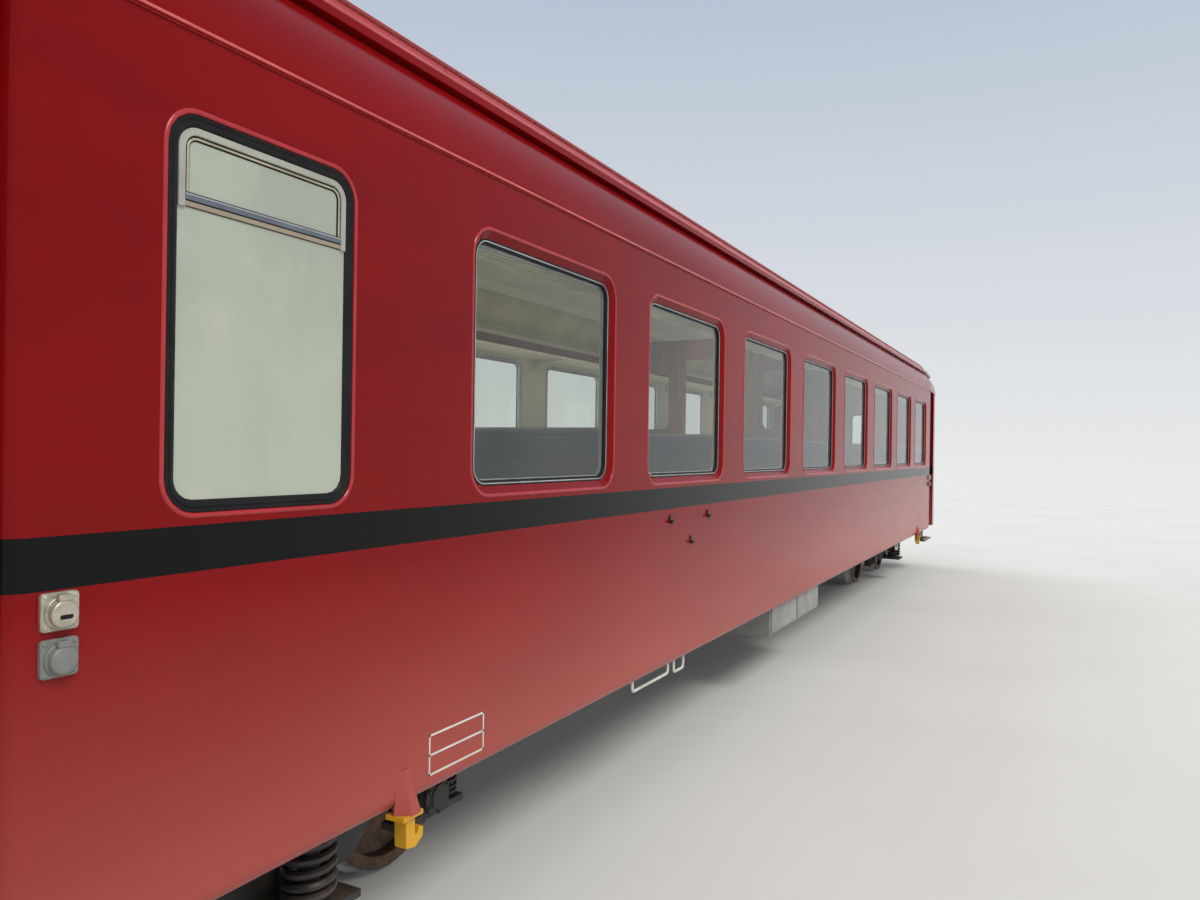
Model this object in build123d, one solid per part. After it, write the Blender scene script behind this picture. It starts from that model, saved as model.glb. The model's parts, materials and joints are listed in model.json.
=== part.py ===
from build123d import *
import math
import os

# Narrow-gauge passenger coach on two bogies, in millimetres.
# X runs along the coach, -Y is the side of the narrow toilet window at the -X end, Z is up.
# The origin is midway along and across the coach, on the floor that the wheel flanges stand on.

# Flat steps that stand for round forms
WHEEL_SIDES = 20
DRUM_SIDES = 10
AXLE_SIDES = 8
ROD_SIDES = 8
RAIL_SIDES = 6
HINGE_SIDES = 4
CORNER_STEPS = 3
NARROW_STEPS = 4
SMALL_STEPS = 2
ROOF_FACETS = 10

# Track and levels, as heights above the rail top
FLANGE_HEIGHT = 28.0
RAIL_Z = FLANGE_HEIGHT
SKIRT_Z = RAIL_Z + 700.0
FLOOR_Z = RAIL_Z + 1000.0
CORNICE_Z = RAIL_Z + 3030.0
GUTTER_RISE = 300.0
GUTTER_Z = CORNICE_Z + GUTTER_RISE
ROOF_Z = RAIL_Z + 3572.0

# Body shell
WIDTH = 2680.0
WALL = 60.0
SKIRT_RADIUS = 50.0
VESTIBULE = 1200.0
VESTIBULE_TAPER = 75.0
END_WALL = 50.0
FLOOR_THICKNESS = 50.0
FLOOR_LOW = FLOOR_Z - FLOOR_THICKNESS
ROOF_THICKNESS = 50.0
WALL_GAP = 6.0

# Window rhythm along the side wall
WINDOW_COUNT = 8
WINDOW_PITCH = 1640.0
WINDOW_WIDTH = 1215.0
WINDOW_HEIGHT = 1040.0
WINDOW_SILL_Z = RAIL_Z + 1770.0
WINDOW_RADIUS = 112.0
SURROUND = 34.0
SURROUND_DEPTH = 26.0
NARROW_OFFSET = 380.0
NARROW_WIDTH = 670.0
NARROW_RADIUS = 92.0
NARROW_SEAT = 4.0
NARROW_TO_FIRST = 660.0
LAST_TO_END = 535.0
NARROW_RUBBER = 34.0
RUBBER_DEPTH = 22.0
GLASS = 8.0
HOPPER_HEIGHT = 200.0
HOPPER_FRAME = 22.0
HOPPER_DEPTH = 7.0

SIDE_LENGTH = (NARROW_OFFSET + NARROW_WIDTH + NARROW_TO_FIRST
               + (WINDOW_COUNT - 1) * WINDOW_PITCH + WINDOW_WIDTH + LAST_TO_END)
SIDE_END = SIDE_LENGTH / 2
BODY_END = SIDE_END + VESTIBULE
HALF_WIDTH = WIDTH / 2
INNER_Y = HALF_WIDTH - WALL
FIRST_WINDOW_X = -SIDE_END + NARROW_OFFSET + NARROW_WIDTH + NARROW_TO_FIRST
PILLAR = WINDOW_PITCH - WINDOW_WIDTH
PILLARS = [FIRST_WINDOW_X - PILLAR / 2 + number * WINDOW_PITCH for number in range(WINDOW_COUNT + 1)]
WINDOW_MID_Z = WINDOW_SILL_Z + WINDOW_HEIGHT / 2

# Cant panel, gutter and roof section, measured inwards from the side and up from the gutter
CANT_IN = 120.0
GUTTER_OUT = 38.0
GUTTER_LIP = 34.0
GUTTER_SHEET = 6.0
CORNICE_OUT = 9.0
FLANK_IN = 60.0
FLANK_RISE = 130.0
BEAD = 9.0

# Entrance recess and folding doors
DOOR_RECESS = 200.0
DOOR_OPENING = 840.0
JAMB = 40.0
LEAF = 35.0
LEAF_GAP = 8.0
LEAF_SWING_GAP = 12.0
LEAF_TOP_Z = CORNICE_Z - 76.0
HEADER_GAP = 8.0
LEAF_WINDOW_WIDTH = 230.0
LEAF_WINDOW_HEIGHT = 980.0
LEAF_WINDOW_RADIUS = 60.0
LEAF_WINDOW_DROP = 60.0
DOOR_OUT_Y = HALF_WIDTH - DOOR_RECESS
DOOR_IN_Y = DOOR_OUT_Y - LEAF
LEAF_WIDTH = (DOOR_OPENING - LEAF_GAP - LEAF_SWING_GAP - LEAF_GAP) / 2

# Grab rail on the end column beside the entrance
GRAB_RADIUS = 14.0
GRAB_ARM_RADIUS = 10.0
GRAB_OUT = 42.0
GRAB_SIDE = 55.0
GRAB_FOOT = 30.0
GRAB_LOW = FLOOR_Z + 150.0
GRAB_HIGH = FLOOR_Z + 1250.0

# Entrance steps: rise of each, tread depth, sheet and the room at each side
STEP_RISE = 250.0
STEP_TREAD = 135.0
STEP_SHEET = 24.0
STEP_OUT_Y = HALF_WIDTH - 70.0
STEP_SIDE_GAP = 30.0

# Hinges of the entrance and gangway doors
HINGE_RADIUS = 8.0
HINGE_LENGTH = 60.0
HINGE_GAP = 0.3
HINGE_OFFSET = 10.0
HINGE_LUG = 14.0
HINGE_LEVELS = (FLOOR_Z + 200.0, FLOOR_Z + 1600.0)
DOOR_HINGE_X = SIDE_END + LEAF_GAP / 2
DOOR_HINGE_Y = DOOR_IN_Y - HINGE_OFFSET
FOLD_HINGE_X = SIDE_END + LEAF_GAP + LEAF_WIDTH + LEAF_GAP / 2
FOLD_HINGE_Y = DOOR_OUT_Y + HINGE_OFFSET

# Gangway
GANGWAY_WIDTH = 760.0
GANGWAY_HEIGHT = 1950.0
GANGWAY_DOOR = 35.0
GANGWAY_GAP = 6.0
GANGWAY_HINGE_X = BODY_END - END_WALL - HINGE_OFFSET
GANGWAY_HINGE_Y = -GANGWAY_WIDTH / 2 + GANGWAY_GAP / 2
PASSAGE_WINDOW_WIDTH = 420.0
PASSAGE_WINDOW_HEIGHT = 780.0
PASSAGE_WINDOW_RADIUS = 70.0
BELLOWS_WALL = 90.0
BELLOWS_FOLD = 32.0
BELLOWS_FOLDS = 3
BELLOWS_GROOVE = 44.0
BELLOWS_RADIUS = 90.0

# Bogie pivots: beam, centre plate and pin
PIVOT_X = SIDE_END - 1260.0
BOLSTER_WIDTH = 300.0
BODY_BOLSTER_LOW = RAIL_Z + 812.0
BOWL_HEIGHT = 34.0
BOWL_RADIUS = 170.0
BOWL_GAP = 0.3
PIN_RADIUS = 40.0
PIN_GAP = 2.0
PIN_LENGTH = 90.0
BOLSTER_TOP = BODY_BOLSTER_LOW - BOWL_HEIGHT / 2 - BOWL_GAP
BOLSTER_DEPTH = 100.0
ARM_STEP = 20.0

# Wheelsets
WHEELBASE = 1800.0
WHEEL_RADIUS = 375.0
AXLE_Z = RAIL_Z + WHEEL_RADIUS
BACK_TO_BACK = 930.0
RIM_WIDTH = 125.0
RIM_HEIGHT = 64.0
TREAD_TAPER = 4.0
FLANGE_WIDTH = 32.0
HUB_RADIUS = 105.0
HUB_PROUD = 5.0
WEB_OUT = 66.0
AXLE_RADIUS = 65.0
JOURNAL_RADIUS = 55.0
JOURNAL_GAP = 0.4
JOURNAL_BACK = 12.0
JOURNAL_END_GAP = 4.0

# Rack braking pinion on the inner axle of each bogie
RACK_PITCH = 100.0
PINION_TEETH = 19
PINION_WIDTH = 100.0
PINION_ADDENDUM = 26.0
PINION_DEDENDUM = 32.0
TOOTH_FOOT = 0.36
TOOTH_TIP = 0.14
PINION_BOSS = 120.0
PINION_BOSS_LENGTH = 150.0

# Bogie frame: beams across the coach, then levels, then stations along a beam from its middle
BEAM_Y = 780.0
BEAM_WIDTH = 110.0
BOX_IN_Y = BEAM_Y - BEAM_WIDTH / 2
BOX_OUT_Y = BEAM_Y + BEAM_WIDTH / 2
BEAM_TOP = RAIL_Z + 620.0
BEAM_LOW = RAIL_Z + 510.0
DROP_TOP = RAIL_Z + 440.0
DROP_LOW = RAIL_Z + 300.0
BEAM_END = WHEELBASE / 2 + 330.0
BEAM_RISE_TOP = 640.0
BEAM_RISE_LOW = 600.0
DROP_TOP_X = 400.0
DROP_LOW_X = 360.0
TRANSOM_X = 230.0
TRANSOM_RADIUS = 68.0
GUSSET = 8.0

# Springs between bogie frame and bolster, and between axle box and frame
SPRING_Y = 975.0
SPRING_RADIUS = 100.0
SPRING_TURNS = 4
SPRING_TOP = RAIL_Z + 655.0
SEAT_PLATE = 28.0
OUTRIGGER_Y = SPRING_Y + SPRING_RADIUS + 10.0
PRIMARY_RADIUS = 52.0
PRIMARY_X = 165.0
PRIMARY_TURNS = 2
COIL_END = 0.86
COIL_GROOVE = 0.8

# Axle boxes
BOX_SIZE = 190.0
BOX_TOP_CUT = 10.0
WING = 225.0
WING_THICKNESS = 30.0
COVER_RADIUS = 81.0
COVER_DEPTH = 26.0
GUIDE_IN = 25.0
GUIDE_EDGE = 20.0

# Brake gear
BRAKE_GAP = 5.0
BLOCK_THICKNESS = 48.0
BLOCK_WIDTH = 84.0
BLOCK_ANGLE = 19.0
BLOCK_STEPS = 2
BLOCK_SEAT = 2.0
BRAKE_BEAM = 44.0

# Underframe
SOLE_BAR_HEIGHT = 190.0
SOLE_BAR_WIDTH = 90.0
SOLE_BAR_WEB = 12.0
SOLE_IN_Y = INNER_Y - WALL_GAP - SOLE_BAR_WIDTH
SOLE_LOW = FLOOR_LOW - SOLE_BAR_HEIGHT
CROSS_HEIGHT = 110.0
CROSS_WIDTH = 70.0
CROSS_LOW = FLOOR_LOW - CROSS_HEIGHT
HEADSTOCK = 90.0
SILL_WIDTH = 180.0

# Centre buffer and the draw hooks beside it
COUPLER_NOTCH = 520.0
BUFFER_REACH = 620.0
BUFFER_Z = RAIL_Z + 790.0
BUFFER_HOUSING = 260.0
HOUSING_RADIUS = 85.0
SHANK_RADIUS = 58.0
HEAD_WIDTH = 460.0
HEAD_HEIGHT = 220.0
HEAD_RADIUS = 60.0
HEAD_THICKNESS = 60.0
HEAD_BEVEL = 36.0
COUPLING_Y = 170.0
COUPLING_WIDTH = 44.0
COUPLING_LENGTH = 300.0
COUPLING_BAR = 60.0
COUPLING_DROP = 10.0
HOOK_RADIUS = 52.0
EYE_SIDES = 8
EYE_RADIUS = 24.0
EYE_AHEAD = 6.0
EYE_RISE = 8.0

# Equipment box under the floor, from the -X end of the side wall
BOX_START = 5980.0
BOX_LENGTH = 1600.0
BOX_HEIGHT = 310.0
BOX_DEPTH = 480.0
BOX_BEHIND_WALL = 20.0
BOX_CHAMFER = 18.0
BOX_DOOR = 12.0
BOX_DOOR_EDGE = 34.0

# Air reservoirs, the first between two pillars, and the small one across the coach
TANK_PILLAR = 4
TANK_BEYOND = 120.0
TANK_RADIUS = 170.0
TANK_END = 0.66
TANK_DOME = 70.0
TANK_YS = (420.0, 840.0)
TANK_DROP = 200.0
TANK_STRAP = 50.0
TANK_SADDLE = 60.0
SMALL_TANK_X = 8900.0
SMALL_TANK_RADIUS = 70.0
SMALL_TANK_GAP = 8.0
SMALL_TANK_IN = 30.0
SMALL_TANK_LENGTH = 350.0
SMALL_SADDLE = 45.0

# Brake cylinder under the floor beam of a pillar
CYLINDER_PILLAR = 2
CYLINDER_DROP = 190.0
CYLINDER_RADIUS = 150.0
CYLINDER_BEHIND = 260.0
CYLINDER_AHEAD = 120.0
CYLINDER_BRACKET = 110.0
PISTON_RADIUS = 32.0
PISTON_LENGTH = 300.0
LEVER_WIDTH = 40.0
LEVER_REACH = 420.0
LEVER_HEIGHT = 60.0

# Lifting bracket and hook on the skirt
BRACKET_X = 1340.0
BRACKET_LOW = SKIRT_Z - 12.0
BRACKET_HEIGHT = 145.0
BRACKET_FOOT = 60.0
BRACKET_NOSE = 24.0
BRACKET_OUT = 52.0
BRACKET_TOP = 34.0
BRACKET_TOP_OUT = 6.0
HOOK_FLANGE = 16.0
HOOK_OUT = 30.0
HOOK_THICKNESS = 50.0
HOOK_EDGE = 14.0

# Wall sockets: heights above the rail
SOCKET_HEIGHTS = (1568.0, 1463.0)
SOCKET_X = 115.0
SOCKET_SIZE = 88.0
SOCKET_FLANGE = 12.0
SOCKET_LID = 22.0
SOCKET_LID_DROP = 4.0
SOCKET_LID_RADIUS = 33.0

# Handles under the -Y skirt and their twins on the other side: start, length, drop
HANDLES = [(3290.0, 490.0, 60.0), (3870.0, 150.0, 75.0), (11850.0, 150.0, 75.0)]
HANDLE_BAR = 18.0
HANDLE_IN = 47.0

# Destination board holders: distance along the wall, height above the rail, width
HOLDERS = [(3680.0, 1556.0, 40.0), (4290.0, 1556.0, 40.0), (4000.0, 1414.0, 26.0)]
HOLDER_HEIGHT = 44.0
HOLDER_FOOT = 8.0

# Tail lamps
LAMP_Z = RAIL_Z + 1250.0
LAMP_IN = 230.0
LAMP_RADIUS = 75.0
LAMP_DEPTH = 55.0
LAMP_BEVEL = 18.0

# Saloon walls
PARTITION = 35.0
NEAR_WALL_X = -SIDE_END + 270.0
FAR_WALL_X = PILLARS[-1] + PARTITION / 2 + 35.0
DOORWAY = 680.0
DOORWAY_HEIGHT = 1950.0
LIGHT_WIDTH = 560.0
LIGHT_HEIGHT = 620.0
LIGHT_RADIUS = 70.0
LIGHT_Y = (DOORWAY / 2 + INNER_Y) / 2
LIGHT_Z = WINDOW_MID_Z + 210.0
TOILET_TO_PILLAR = 40.0
TOILET_Y = 380.0

# Luggage racks
RACK_Z = RAIL_Z + 2835.0
RACK_DEPTH = 340.0
RACK_SLATS = 3
RACK_SLAT = 50.0
RACK_SHEET = 12.0
RACK_LIP = 12.0
RACK_BRACKET = 90.0
PARTITION_ABOVE_RACK = 330.0

# Seats
AISLE = 520.0
SEAT_DEPTH = 450.0
SEAT_THICKNESS = 110.0
SEAT_HEIGHT = 430.0
SEAT_BACK = 90.0
SEAT_BACK_HEIGHT = 640.0
SEAT_SHELL = 24.0
SEAT_PAN = 22.0
SEAT_LEG = 60.0
CUSHION_GAP = 0.3
CUSHION_INSET = 4.0
BACK_BELOW_SHELL = 10.0

nodes = {}


def add(name, *shapes):
    """Keep the solids of one node."""
    solids = nodes.setdefault(name, [])
    for shape in shapes:
        solids.extend(shape.solids())


def block(x0, x1, y0, y1, z0, z1):
    """Box between two corners."""
    size = Box(abs(x1 - x0), abs(y1 - y0), abs(z1 - z0))
    return Pos((x0 + x1) / 2, (y0 + y1) / 2, (z0 + z1) / 2) * size


def across(points, x0, x1):
    """Prism along X from a closed outline of (y, z) points."""
    outline = Polyline(*[(x0, y, z) for y, z in points], close=True)
    return extrude(make_face(outline), abs(x1 - x0), dir=(1, 0, 0))


def sideways(points, y0, y1):
    """Prism along Y from a closed outline of (x, z) points."""
    outline = Polyline(*[(x, y0, z) for x, z in points], close=True)
    return extrude(make_face(outline), abs(y1 - y0), dir=(0, 1, 0))


def upright(points, z0, z1):
    """Prism along Z from a closed outline of (x, y) points."""
    outline = Polyline(*[(x, y, z0) for x, y in points], close=True)
    return extrude(make_face(outline), z1 - z0, dir=(0, 0, 1))


def rod(start, end, radius, sides=ROD_SIDES):
    """Many-sided bar between two points, its corners on the round bar's surface."""
    axis = Vector(*end) - Vector(*start)
    plane = Plane(origin=start, z_dir=axis)
    return extrude(plane * RegularPolygon(radius, sides), axis.length)


def turned(place, steps, sides):
    """Many-sided turned piece from steps of (distance along the plane's normal, radius)."""
    shape = None
    for (start, radius), (end, next_radius) in zip(steps, steps[1:]):
        if end > start:
            section = place.offset(start) * RegularPolygon(radius, sides)
            if radius == next_radius:
                piece = extrude(section, end - start)
            else:
                piece = loft([section, place.offset(end) * RegularPolygon(next_radius, sides)], ruled=True)
            shape = piece if shape is None else shape + piece
    return shape


def soft_rectangle(width, height, radius, steps=CORNER_STEPS):
    """Rectangle whose rounded corners have a few flat steps."""
    points = []
    for along, up, start in ((1, 1, 0), (-1, 1, 90), (-1, -1, 180), (1, -1, 270)):
        for number in range(steps + 1):
            angle = math.radians(start + 90 * number / steps)
            points.append((along * (width / 2 - radius) + radius * math.cos(angle),
                           up * (height / 2 - radius) + radius * math.sin(angle)))
    return make_face(Polyline(*points, close=True))


def crown(half, low_z, top_z):
    """Points (y, z) of a shallow arc over the coach, from -half to half."""
    rise = top_z - low_z
    radius = (half ** 2 + rise ** 2) / (2 * rise)
    reach = math.asin(half / radius)
    angles = [reach * (2 * number / ROOF_FACETS - 1) for number in range(ROOF_FACETS + 1)]
    return [(radius * math.sin(angle), top_z - radius + radius * math.cos(angle)) for angle in angles]


def left_right(shape):
    """The shape and its copy on the other side of the coach."""
    return [shape, mirror(shape, about=Plane.XZ)]


def both_ends(shape):
    """The shape and its copy at the other end of the coach."""
    return [shape, mirror(shape, about=Plane.YZ)]


def four_corners(shape):
    """The shape and its copies at every corner of the coach."""
    return [copy for end in both_ends(shape) for copy in left_right(end)]


def half_width_at(x):
    """Half the body width at a station, narrowing over the vestibule."""
    beyond = max(abs(x) - SIDE_END, 0.0)
    return HALF_WIDTH - VESTIBULE_TAPER * beyond / VESTIBULE


def ring(plane, width, height, radius, band, depth, steps=CORNER_STEPS):
    """Rounded rectangular frame of one band width."""
    outer = soft_rectangle(width, height, radius, steps)
    inner = soft_rectangle(width - 2 * band, height - 2 * band, radius - band, steps)
    return extrude(plane * (outer - inner), depth)


def wall_plane(x, z, depth=0.0):
    """Plane on the -Y side wall that looks into the coach."""
    return Plane(origin=(x, -HALF_WIDTH + depth, z), x_dir=(1, 0, 0), z_dir=(0, 1, 0))


def end_plane(x, y, z):
    """Plane across the coach that looks along +X, its own x direction along +Y."""
    return Plane(origin=(x, y, z), x_dir=(0, 1, 0), z_dir=(1, 0, 0))


# Windows of one side: left edge, width, corner radius, corner steps, red surround, frosted
windows = [(-SIDE_END + NARROW_OFFSET, NARROW_WIDTH, NARROW_RADIUS, NARROW_STEPS, 0.0, True)]
windows += [
    (FIRST_WINDOW_X + number * WINDOW_PITCH, WINDOW_WIDTH, WINDOW_RADIUS, CORNER_STEPS, SURROUND, False)
    for number in range(WINDOW_COUNT)
]


def window_cut(left, width, radius, steps, surround):
    """Opening through the side wall, with its bevelled surround."""
    middle = left + width / 2
    face = wall_plane(middle, WINDOW_MID_Z)
    inner = soft_rectangle(width - 2 * surround, WINDOW_HEIGHT - 2 * surround, radius - surround, steps)
    cut = extrude(face * inner, WALL)
    if surround:
        outer = soft_rectangle(width, WINDOW_HEIGHT, radius, steps)
        deep = wall_plane(middle, WINDOW_MID_Z, SURROUND_DEPTH)
        cut += loft([face * outer, deep * inner], ruled=True)
    return cut


def make_side_wall():
    """Side wall with rounded skirt and ends and its window openings."""
    wall = block(-SIDE_END, SIDE_END, -HALF_WIDTH, -INNER_Y, SKIRT_Z, CORNICE_Z)
    outside = wall.faces().sort_by(Axis.Y)[0].edges()
    rounded = [edge for edge in outside if edge.center().Z < CORNICE_Z - 1.0]
    wall = fillet(rounded, SKIRT_RADIUS)
    for left, width, radius, steps, surround, frosted in windows:
        wall -= window_cut(left, width, radius, steps, surround)
    return wall


side_wall = make_side_wall()
add("side_wall_left", side_wall)
add("side_wall_right", mirror(side_wall, about=Plane.XZ))


def make_glazing():
    """Pane of every window in the -Y wall, in a wide rubber gasket where it is frosted."""
    for left, width, radius, steps, surround, frosted in windows:
        middle = left + width / 2
        seat = SURROUND_DEPTH if surround else NARROW_SEAT
        band = NARROW_RUBBER if frosted else 0.0
        opening_width = width - 2 * surround
        opening_height = WINDOW_HEIGHT - 2 * surround
        corner = radius - surround
        pane = soft_rectangle(opening_width - 2 * band, opening_height - 2 * band, corner - band, steps)
        pane_plane = wall_plane(middle, WINDOW_MID_Z, seat + (RUBBER_DEPTH - GLASS) / 2)
        add("frosted_panes" if frosted else "window_panes", *left_right(extrude(pane_plane * pane, GLASS)))
        if frosted:
            gasket = ring(wall_plane(middle, WINDOW_MID_Z, seat), opening_width, opening_height, corner,
                          band, RUBBER_DEPTH, steps)
            add("window_rubbers", *left_right(gasket))


make_glazing()


def make_hopper():
    """Aluminium frame of the tilting top light, in front of the frosted pane."""
    width = NARROW_WIDTH - 2 * NARROW_RUBBER
    top = WINDOW_SILL_Z + WINDOW_HEIGHT - NARROW_RUBBER
    middle = -SIDE_END + NARROW_OFFSET + NARROW_WIDTH / 2
    depth = NARROW_SEAT + (RUBBER_DEPTH - GLASS) / 2 - HOPPER_DEPTH
    plane = wall_plane(middle, top - HOPPER_HEIGHT / 2, depth)
    return ring(plane, width, HOPPER_HEIGHT, NARROW_RADIUS - NARROW_RUBBER, HOPPER_FRAME, HOPPER_DEPTH,
                NARROW_STEPS)


add("hopper_frames", *left_right(make_hopper()))


def cant_arc_middle(a):
    """Half-way point of the arc from the cornice to the gutter."""
    radius = (GUTTER_RISE ** 2 + CANT_IN ** 2) / (2 * CANT_IN)
    half_angle = math.atan2(GUTTER_RISE, radius - CANT_IN) / 2
    return a - radius + radius * math.cos(half_angle), CORNICE_Z + radius * math.sin(half_angle)


def cant_section(x):
    """Section of the cant panel with cornice bead and gutter on the +Y side."""
    a = half_width_at(x)
    chord_y = a - CANT_IN
    middle = cant_arc_middle(a)
    points = [
        (chord_y, GUTTER_Z),
        (chord_y + GUTTER_OUT, GUTTER_Z),
        (chord_y + GUTTER_OUT, GUTTER_Z + GUTTER_LIP),
        (chord_y + GUTTER_OUT - GUTTER_SHEET, GUTTER_Z + GUTTER_LIP),
        (chord_y + GUTTER_OUT - GUTTER_SHEET, GUTTER_Z + GUTTER_SHEET),
        (chord_y - FLANK_IN, GUTTER_Z + GUTTER_SHEET),
        (chord_y - FLANK_IN, GUTTER_Z - WALL),
        (a - WALL, CORNICE_Z + WALL),
        (a - WALL, CORNICE_Z),
        (a, CORNICE_Z),
        (a, CORNICE_Z - CORNICE_OUT),
        (a + CORNICE_OUT, CORNICE_Z - CORNICE_OUT),
        (a + CORNICE_OUT, CORNICE_Z + CORNICE_OUT),
        (a, CORNICE_Z + CORNICE_OUT),
    ]
    lines = Polyline(*[(x, y, z) for y, z in points])
    arc = ThreePointArc((x, a, CORNICE_Z + CORNICE_OUT), (x, *middle), (x, chord_y, GUTTER_Z))
    return make_face([lines, arc])


def roof_section(x):
    """Section of the roof: steep flank, bead and shallow crown over both sides."""
    foot = half_width_at(x) - CANT_IN
    shoulder = foot - FLANK_IN
    seat_z = GUTTER_Z + GUTTER_SHEET
    top_z = GUTTER_Z + FLANK_RISE
    inside = shoulder - ROOF_THICKNESS
    right = [
        (shoulder + BEAD, top_z + BEAD),
        (shoulder + BEAD, top_z),
        (shoulder, top_z),
        (foot - BEAD, seat_z),
        (foot - ROOF_THICKNESS, seat_z),
    ]
    left = [(-y, z) for y, z in reversed(right)]
    outer = crown(shoulder, top_z + BEAD, ROOF_Z)
    inner = crown(inside, top_z - ROOF_THICKNESS, ROOF_Z - ROOF_THICKNESS)
    outline = outer + right + inner[::-1] + left
    return make_face(Polyline(*[(x, y, z) for y, z in outline], close=True))


def run_of(section):
    """Sweep a section over the straight part and narrow it over both vestibules."""
    inner_end = BODY_END - END_WALL
    shape = extrude(section(-SIDE_END), SIDE_LENGTH, dir=(1, 0, 0))
    for end in (-1, 1):
        shape += loft([section(end * SIDE_END), section(end * inner_end)], ruled=True)
    return shape


cant_panel = run_of(cant_section)
add("cant_panel_right", cant_panel)
add("cant_panel_left", mirror(cant_panel, about=Plane.XZ))
add("roof", run_of(roof_section))


def make_hinge(x, y, z, lug_x, lug_y, part):
    """One barrel on an upright hinge line, with a lug that reaches the piece that carries it."""
    low = z + part * HINGE_LENGTH
    high = low + HINGE_LENGTH - HINGE_GAP
    barrel = rod((x, y, low), (x, y, high), HINGE_RADIUS, HINGE_SIDES)
    return barrel + block(min(x, lug_x), max(x, lug_x), min(y, lug_y), max(y, lug_y), low, high)


def make_end_wall():
    """End module at +X: plate under the roof line, corner columns and door portals."""
    a = half_width_at(BODY_END)
    plate_in = BODY_END - END_WALL
    foot = a - CANT_IN
    shoulder = foot - FLANK_IN
    shoulder_z = GUTTER_Z + FLANK_RISE

    def at(y, z):
        return (plate_in, y, z)

    top = [at(y, z) for y, z in crown(shoulder, shoulder_z, ROOF_Z - BEAD)]
    lines = [Line(at(-a, CORNICE_Z), at(a, CORNICE_Z)),
             Polyline(at(-foot, GUTTER_Z), *top, at(foot, GUTTER_Z))]
    for side in (-1, 1):
        middle_y, middle_z = cant_arc_middle(a)
        lines.append(ThreePointArc(at(side * a, CORNICE_Z), at(side * middle_y, middle_z),
                                   at(side * foot, GUTTER_Z)))
    wall = extrude(make_face(lines), END_WALL, dir=(1, 0, 0))
    wall += block(plate_in, BODY_END, -DOOR_IN_Y, DOOR_IN_Y, SKIRT_Z, CORNICE_Z)

    column_x = SIDE_END + DOOR_OPENING
    column_y = half_width_at(column_x)
    outline = [(column_x, DOOR_IN_Y), (column_x, column_y), (BODY_END, a), (BODY_END, DOOR_IN_Y)]
    column = upright(outline, SKIRT_Z, CORNICE_Z)
    corner = [edge for edge in column.edges().filter_by(Axis.Z)
              if edge.center().Y > DOOR_IN_Y + 1.0 and edge.center().X > column_x + 1.0]
    column = fillet(corner, SKIRT_RADIUS)
    column -= upright([(column_x + JAMB, DOOR_IN_Y + JAMB), (column_x + JAMB, column_y - JAMB),
                       (plate_in, a - JAMB - SKIRT_RADIUS / 2), (plate_in, DOOR_IN_Y + JAMB)],
                      SKIRT_Z, CORNICE_Z)
    header_low = LEAF_TOP_Z + HEADER_GAP
    header = upright([(SIDE_END, DOOR_IN_Y), (SIDE_END, HALF_WIDTH - JAMB), (column_x, column_y - JAMB),
                      (column_x, DOOR_IN_Y)], header_low, CORNICE_Z)
    jamb = block(SIDE_END - JAMB, SIDE_END, DOOR_IN_Y, INNER_Y, SKIRT_Z, CORNICE_Z)
    portal = column + header + jamb
    for z in HINGE_LEVELS:
        portal += make_hinge(DOOR_HINGE_X, DOOR_HINGE_Y, z, SIDE_END - HINGE_LUG, DOOR_IN_Y, 0)
    for piece in left_right(portal):
        wall += piece
    for z in HINGE_LEVELS:
        wall += make_hinge(GANGWAY_HINGE_X, GANGWAY_HINGE_Y, z, plate_in, GANGWAY_HINGE_Y - HINGE_LUG, 0)
    wall -= block(plate_in, BODY_END, -GANGWAY_WIDTH / 2, GANGWAY_WIDTH / 2, FLOOR_Z,
                  FLOOR_Z + GANGWAY_HEIGHT)
    wall -= block(plate_in, BODY_END, -COUPLER_NOTCH / 2, COUPLER_NOTCH / 2, SKIRT_Z, FLOOR_LOW)
    return wall


end_wall = make_end_wall()
add("end_wall_far", end_wall)
add("end_wall_near", mirror(end_wall, about=Plane.YZ))


def make_floor():
    """Floor slab, narrower between the entrances."""
    slab = block(-SIDE_END + JAMB, SIDE_END - JAMB, -INNER_Y, INNER_Y, FLOOR_LOW, FLOOR_Z)
    end = BODY_END - END_WALL
    return slab + block(-end, end, -DOOR_IN_Y, DOOR_IN_Y, FLOOR_LOW, FLOOR_Z)


add("floor", make_floor())


def make_sole_bar():
    """Channel under the floor along one side wall."""
    out = INNER_Y - WALL_GAP
    body = block(-SIDE_END + JAMB, SIDE_END - JAMB, SOLE_IN_Y, out, SOLE_LOW, FLOOR_LOW)
    return body - block(-SIDE_END, SIDE_END, SOLE_IN_Y, out - SOLE_BAR_WEB, SOLE_LOW + SOLE_BAR_WEB,
                        FLOOR_LOW - SOLE_BAR_WEB)


add("sole_bars", *left_right(make_sole_bar()))


def make_cross_members():
    """Floor beams at the pillars, kept clear of the bogie pivots."""
    for x in PILLARS[:-1]:
        if abs(abs(x) - PIVOT_X) > BOLSTER_WIDTH:
            half = CROSS_WIDTH / 2
            beam = block(x - half, x + half, -SOLE_IN_Y, SOLE_IN_Y, CROSS_LOW, FLOOR_LOW)
            add("cross_members", beam)


make_cross_members()


def make_body_bolster():
    """Pivot beam of the body with its centre plate and pin."""
    half = BOLSTER_WIDTH / 2
    beam = block(-half, half, -SOLE_IN_Y, SOLE_IN_Y, BODY_BOLSTER_LOW, FLOOR_LOW)
    top = (0, 0, BODY_BOLSTER_LOW)
    plate = rod((0, 0, BODY_BOLSTER_LOW - BOWL_HEIGHT / 2), top, BOWL_RADIUS, DRUM_SIDES)
    pin = rod((0, 0, BODY_BOLSTER_LOW - PIN_LENGTH), top, PIN_RADIUS)
    return Pos(PIVOT_X, 0, 0) * (beam + plate + pin)


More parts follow.
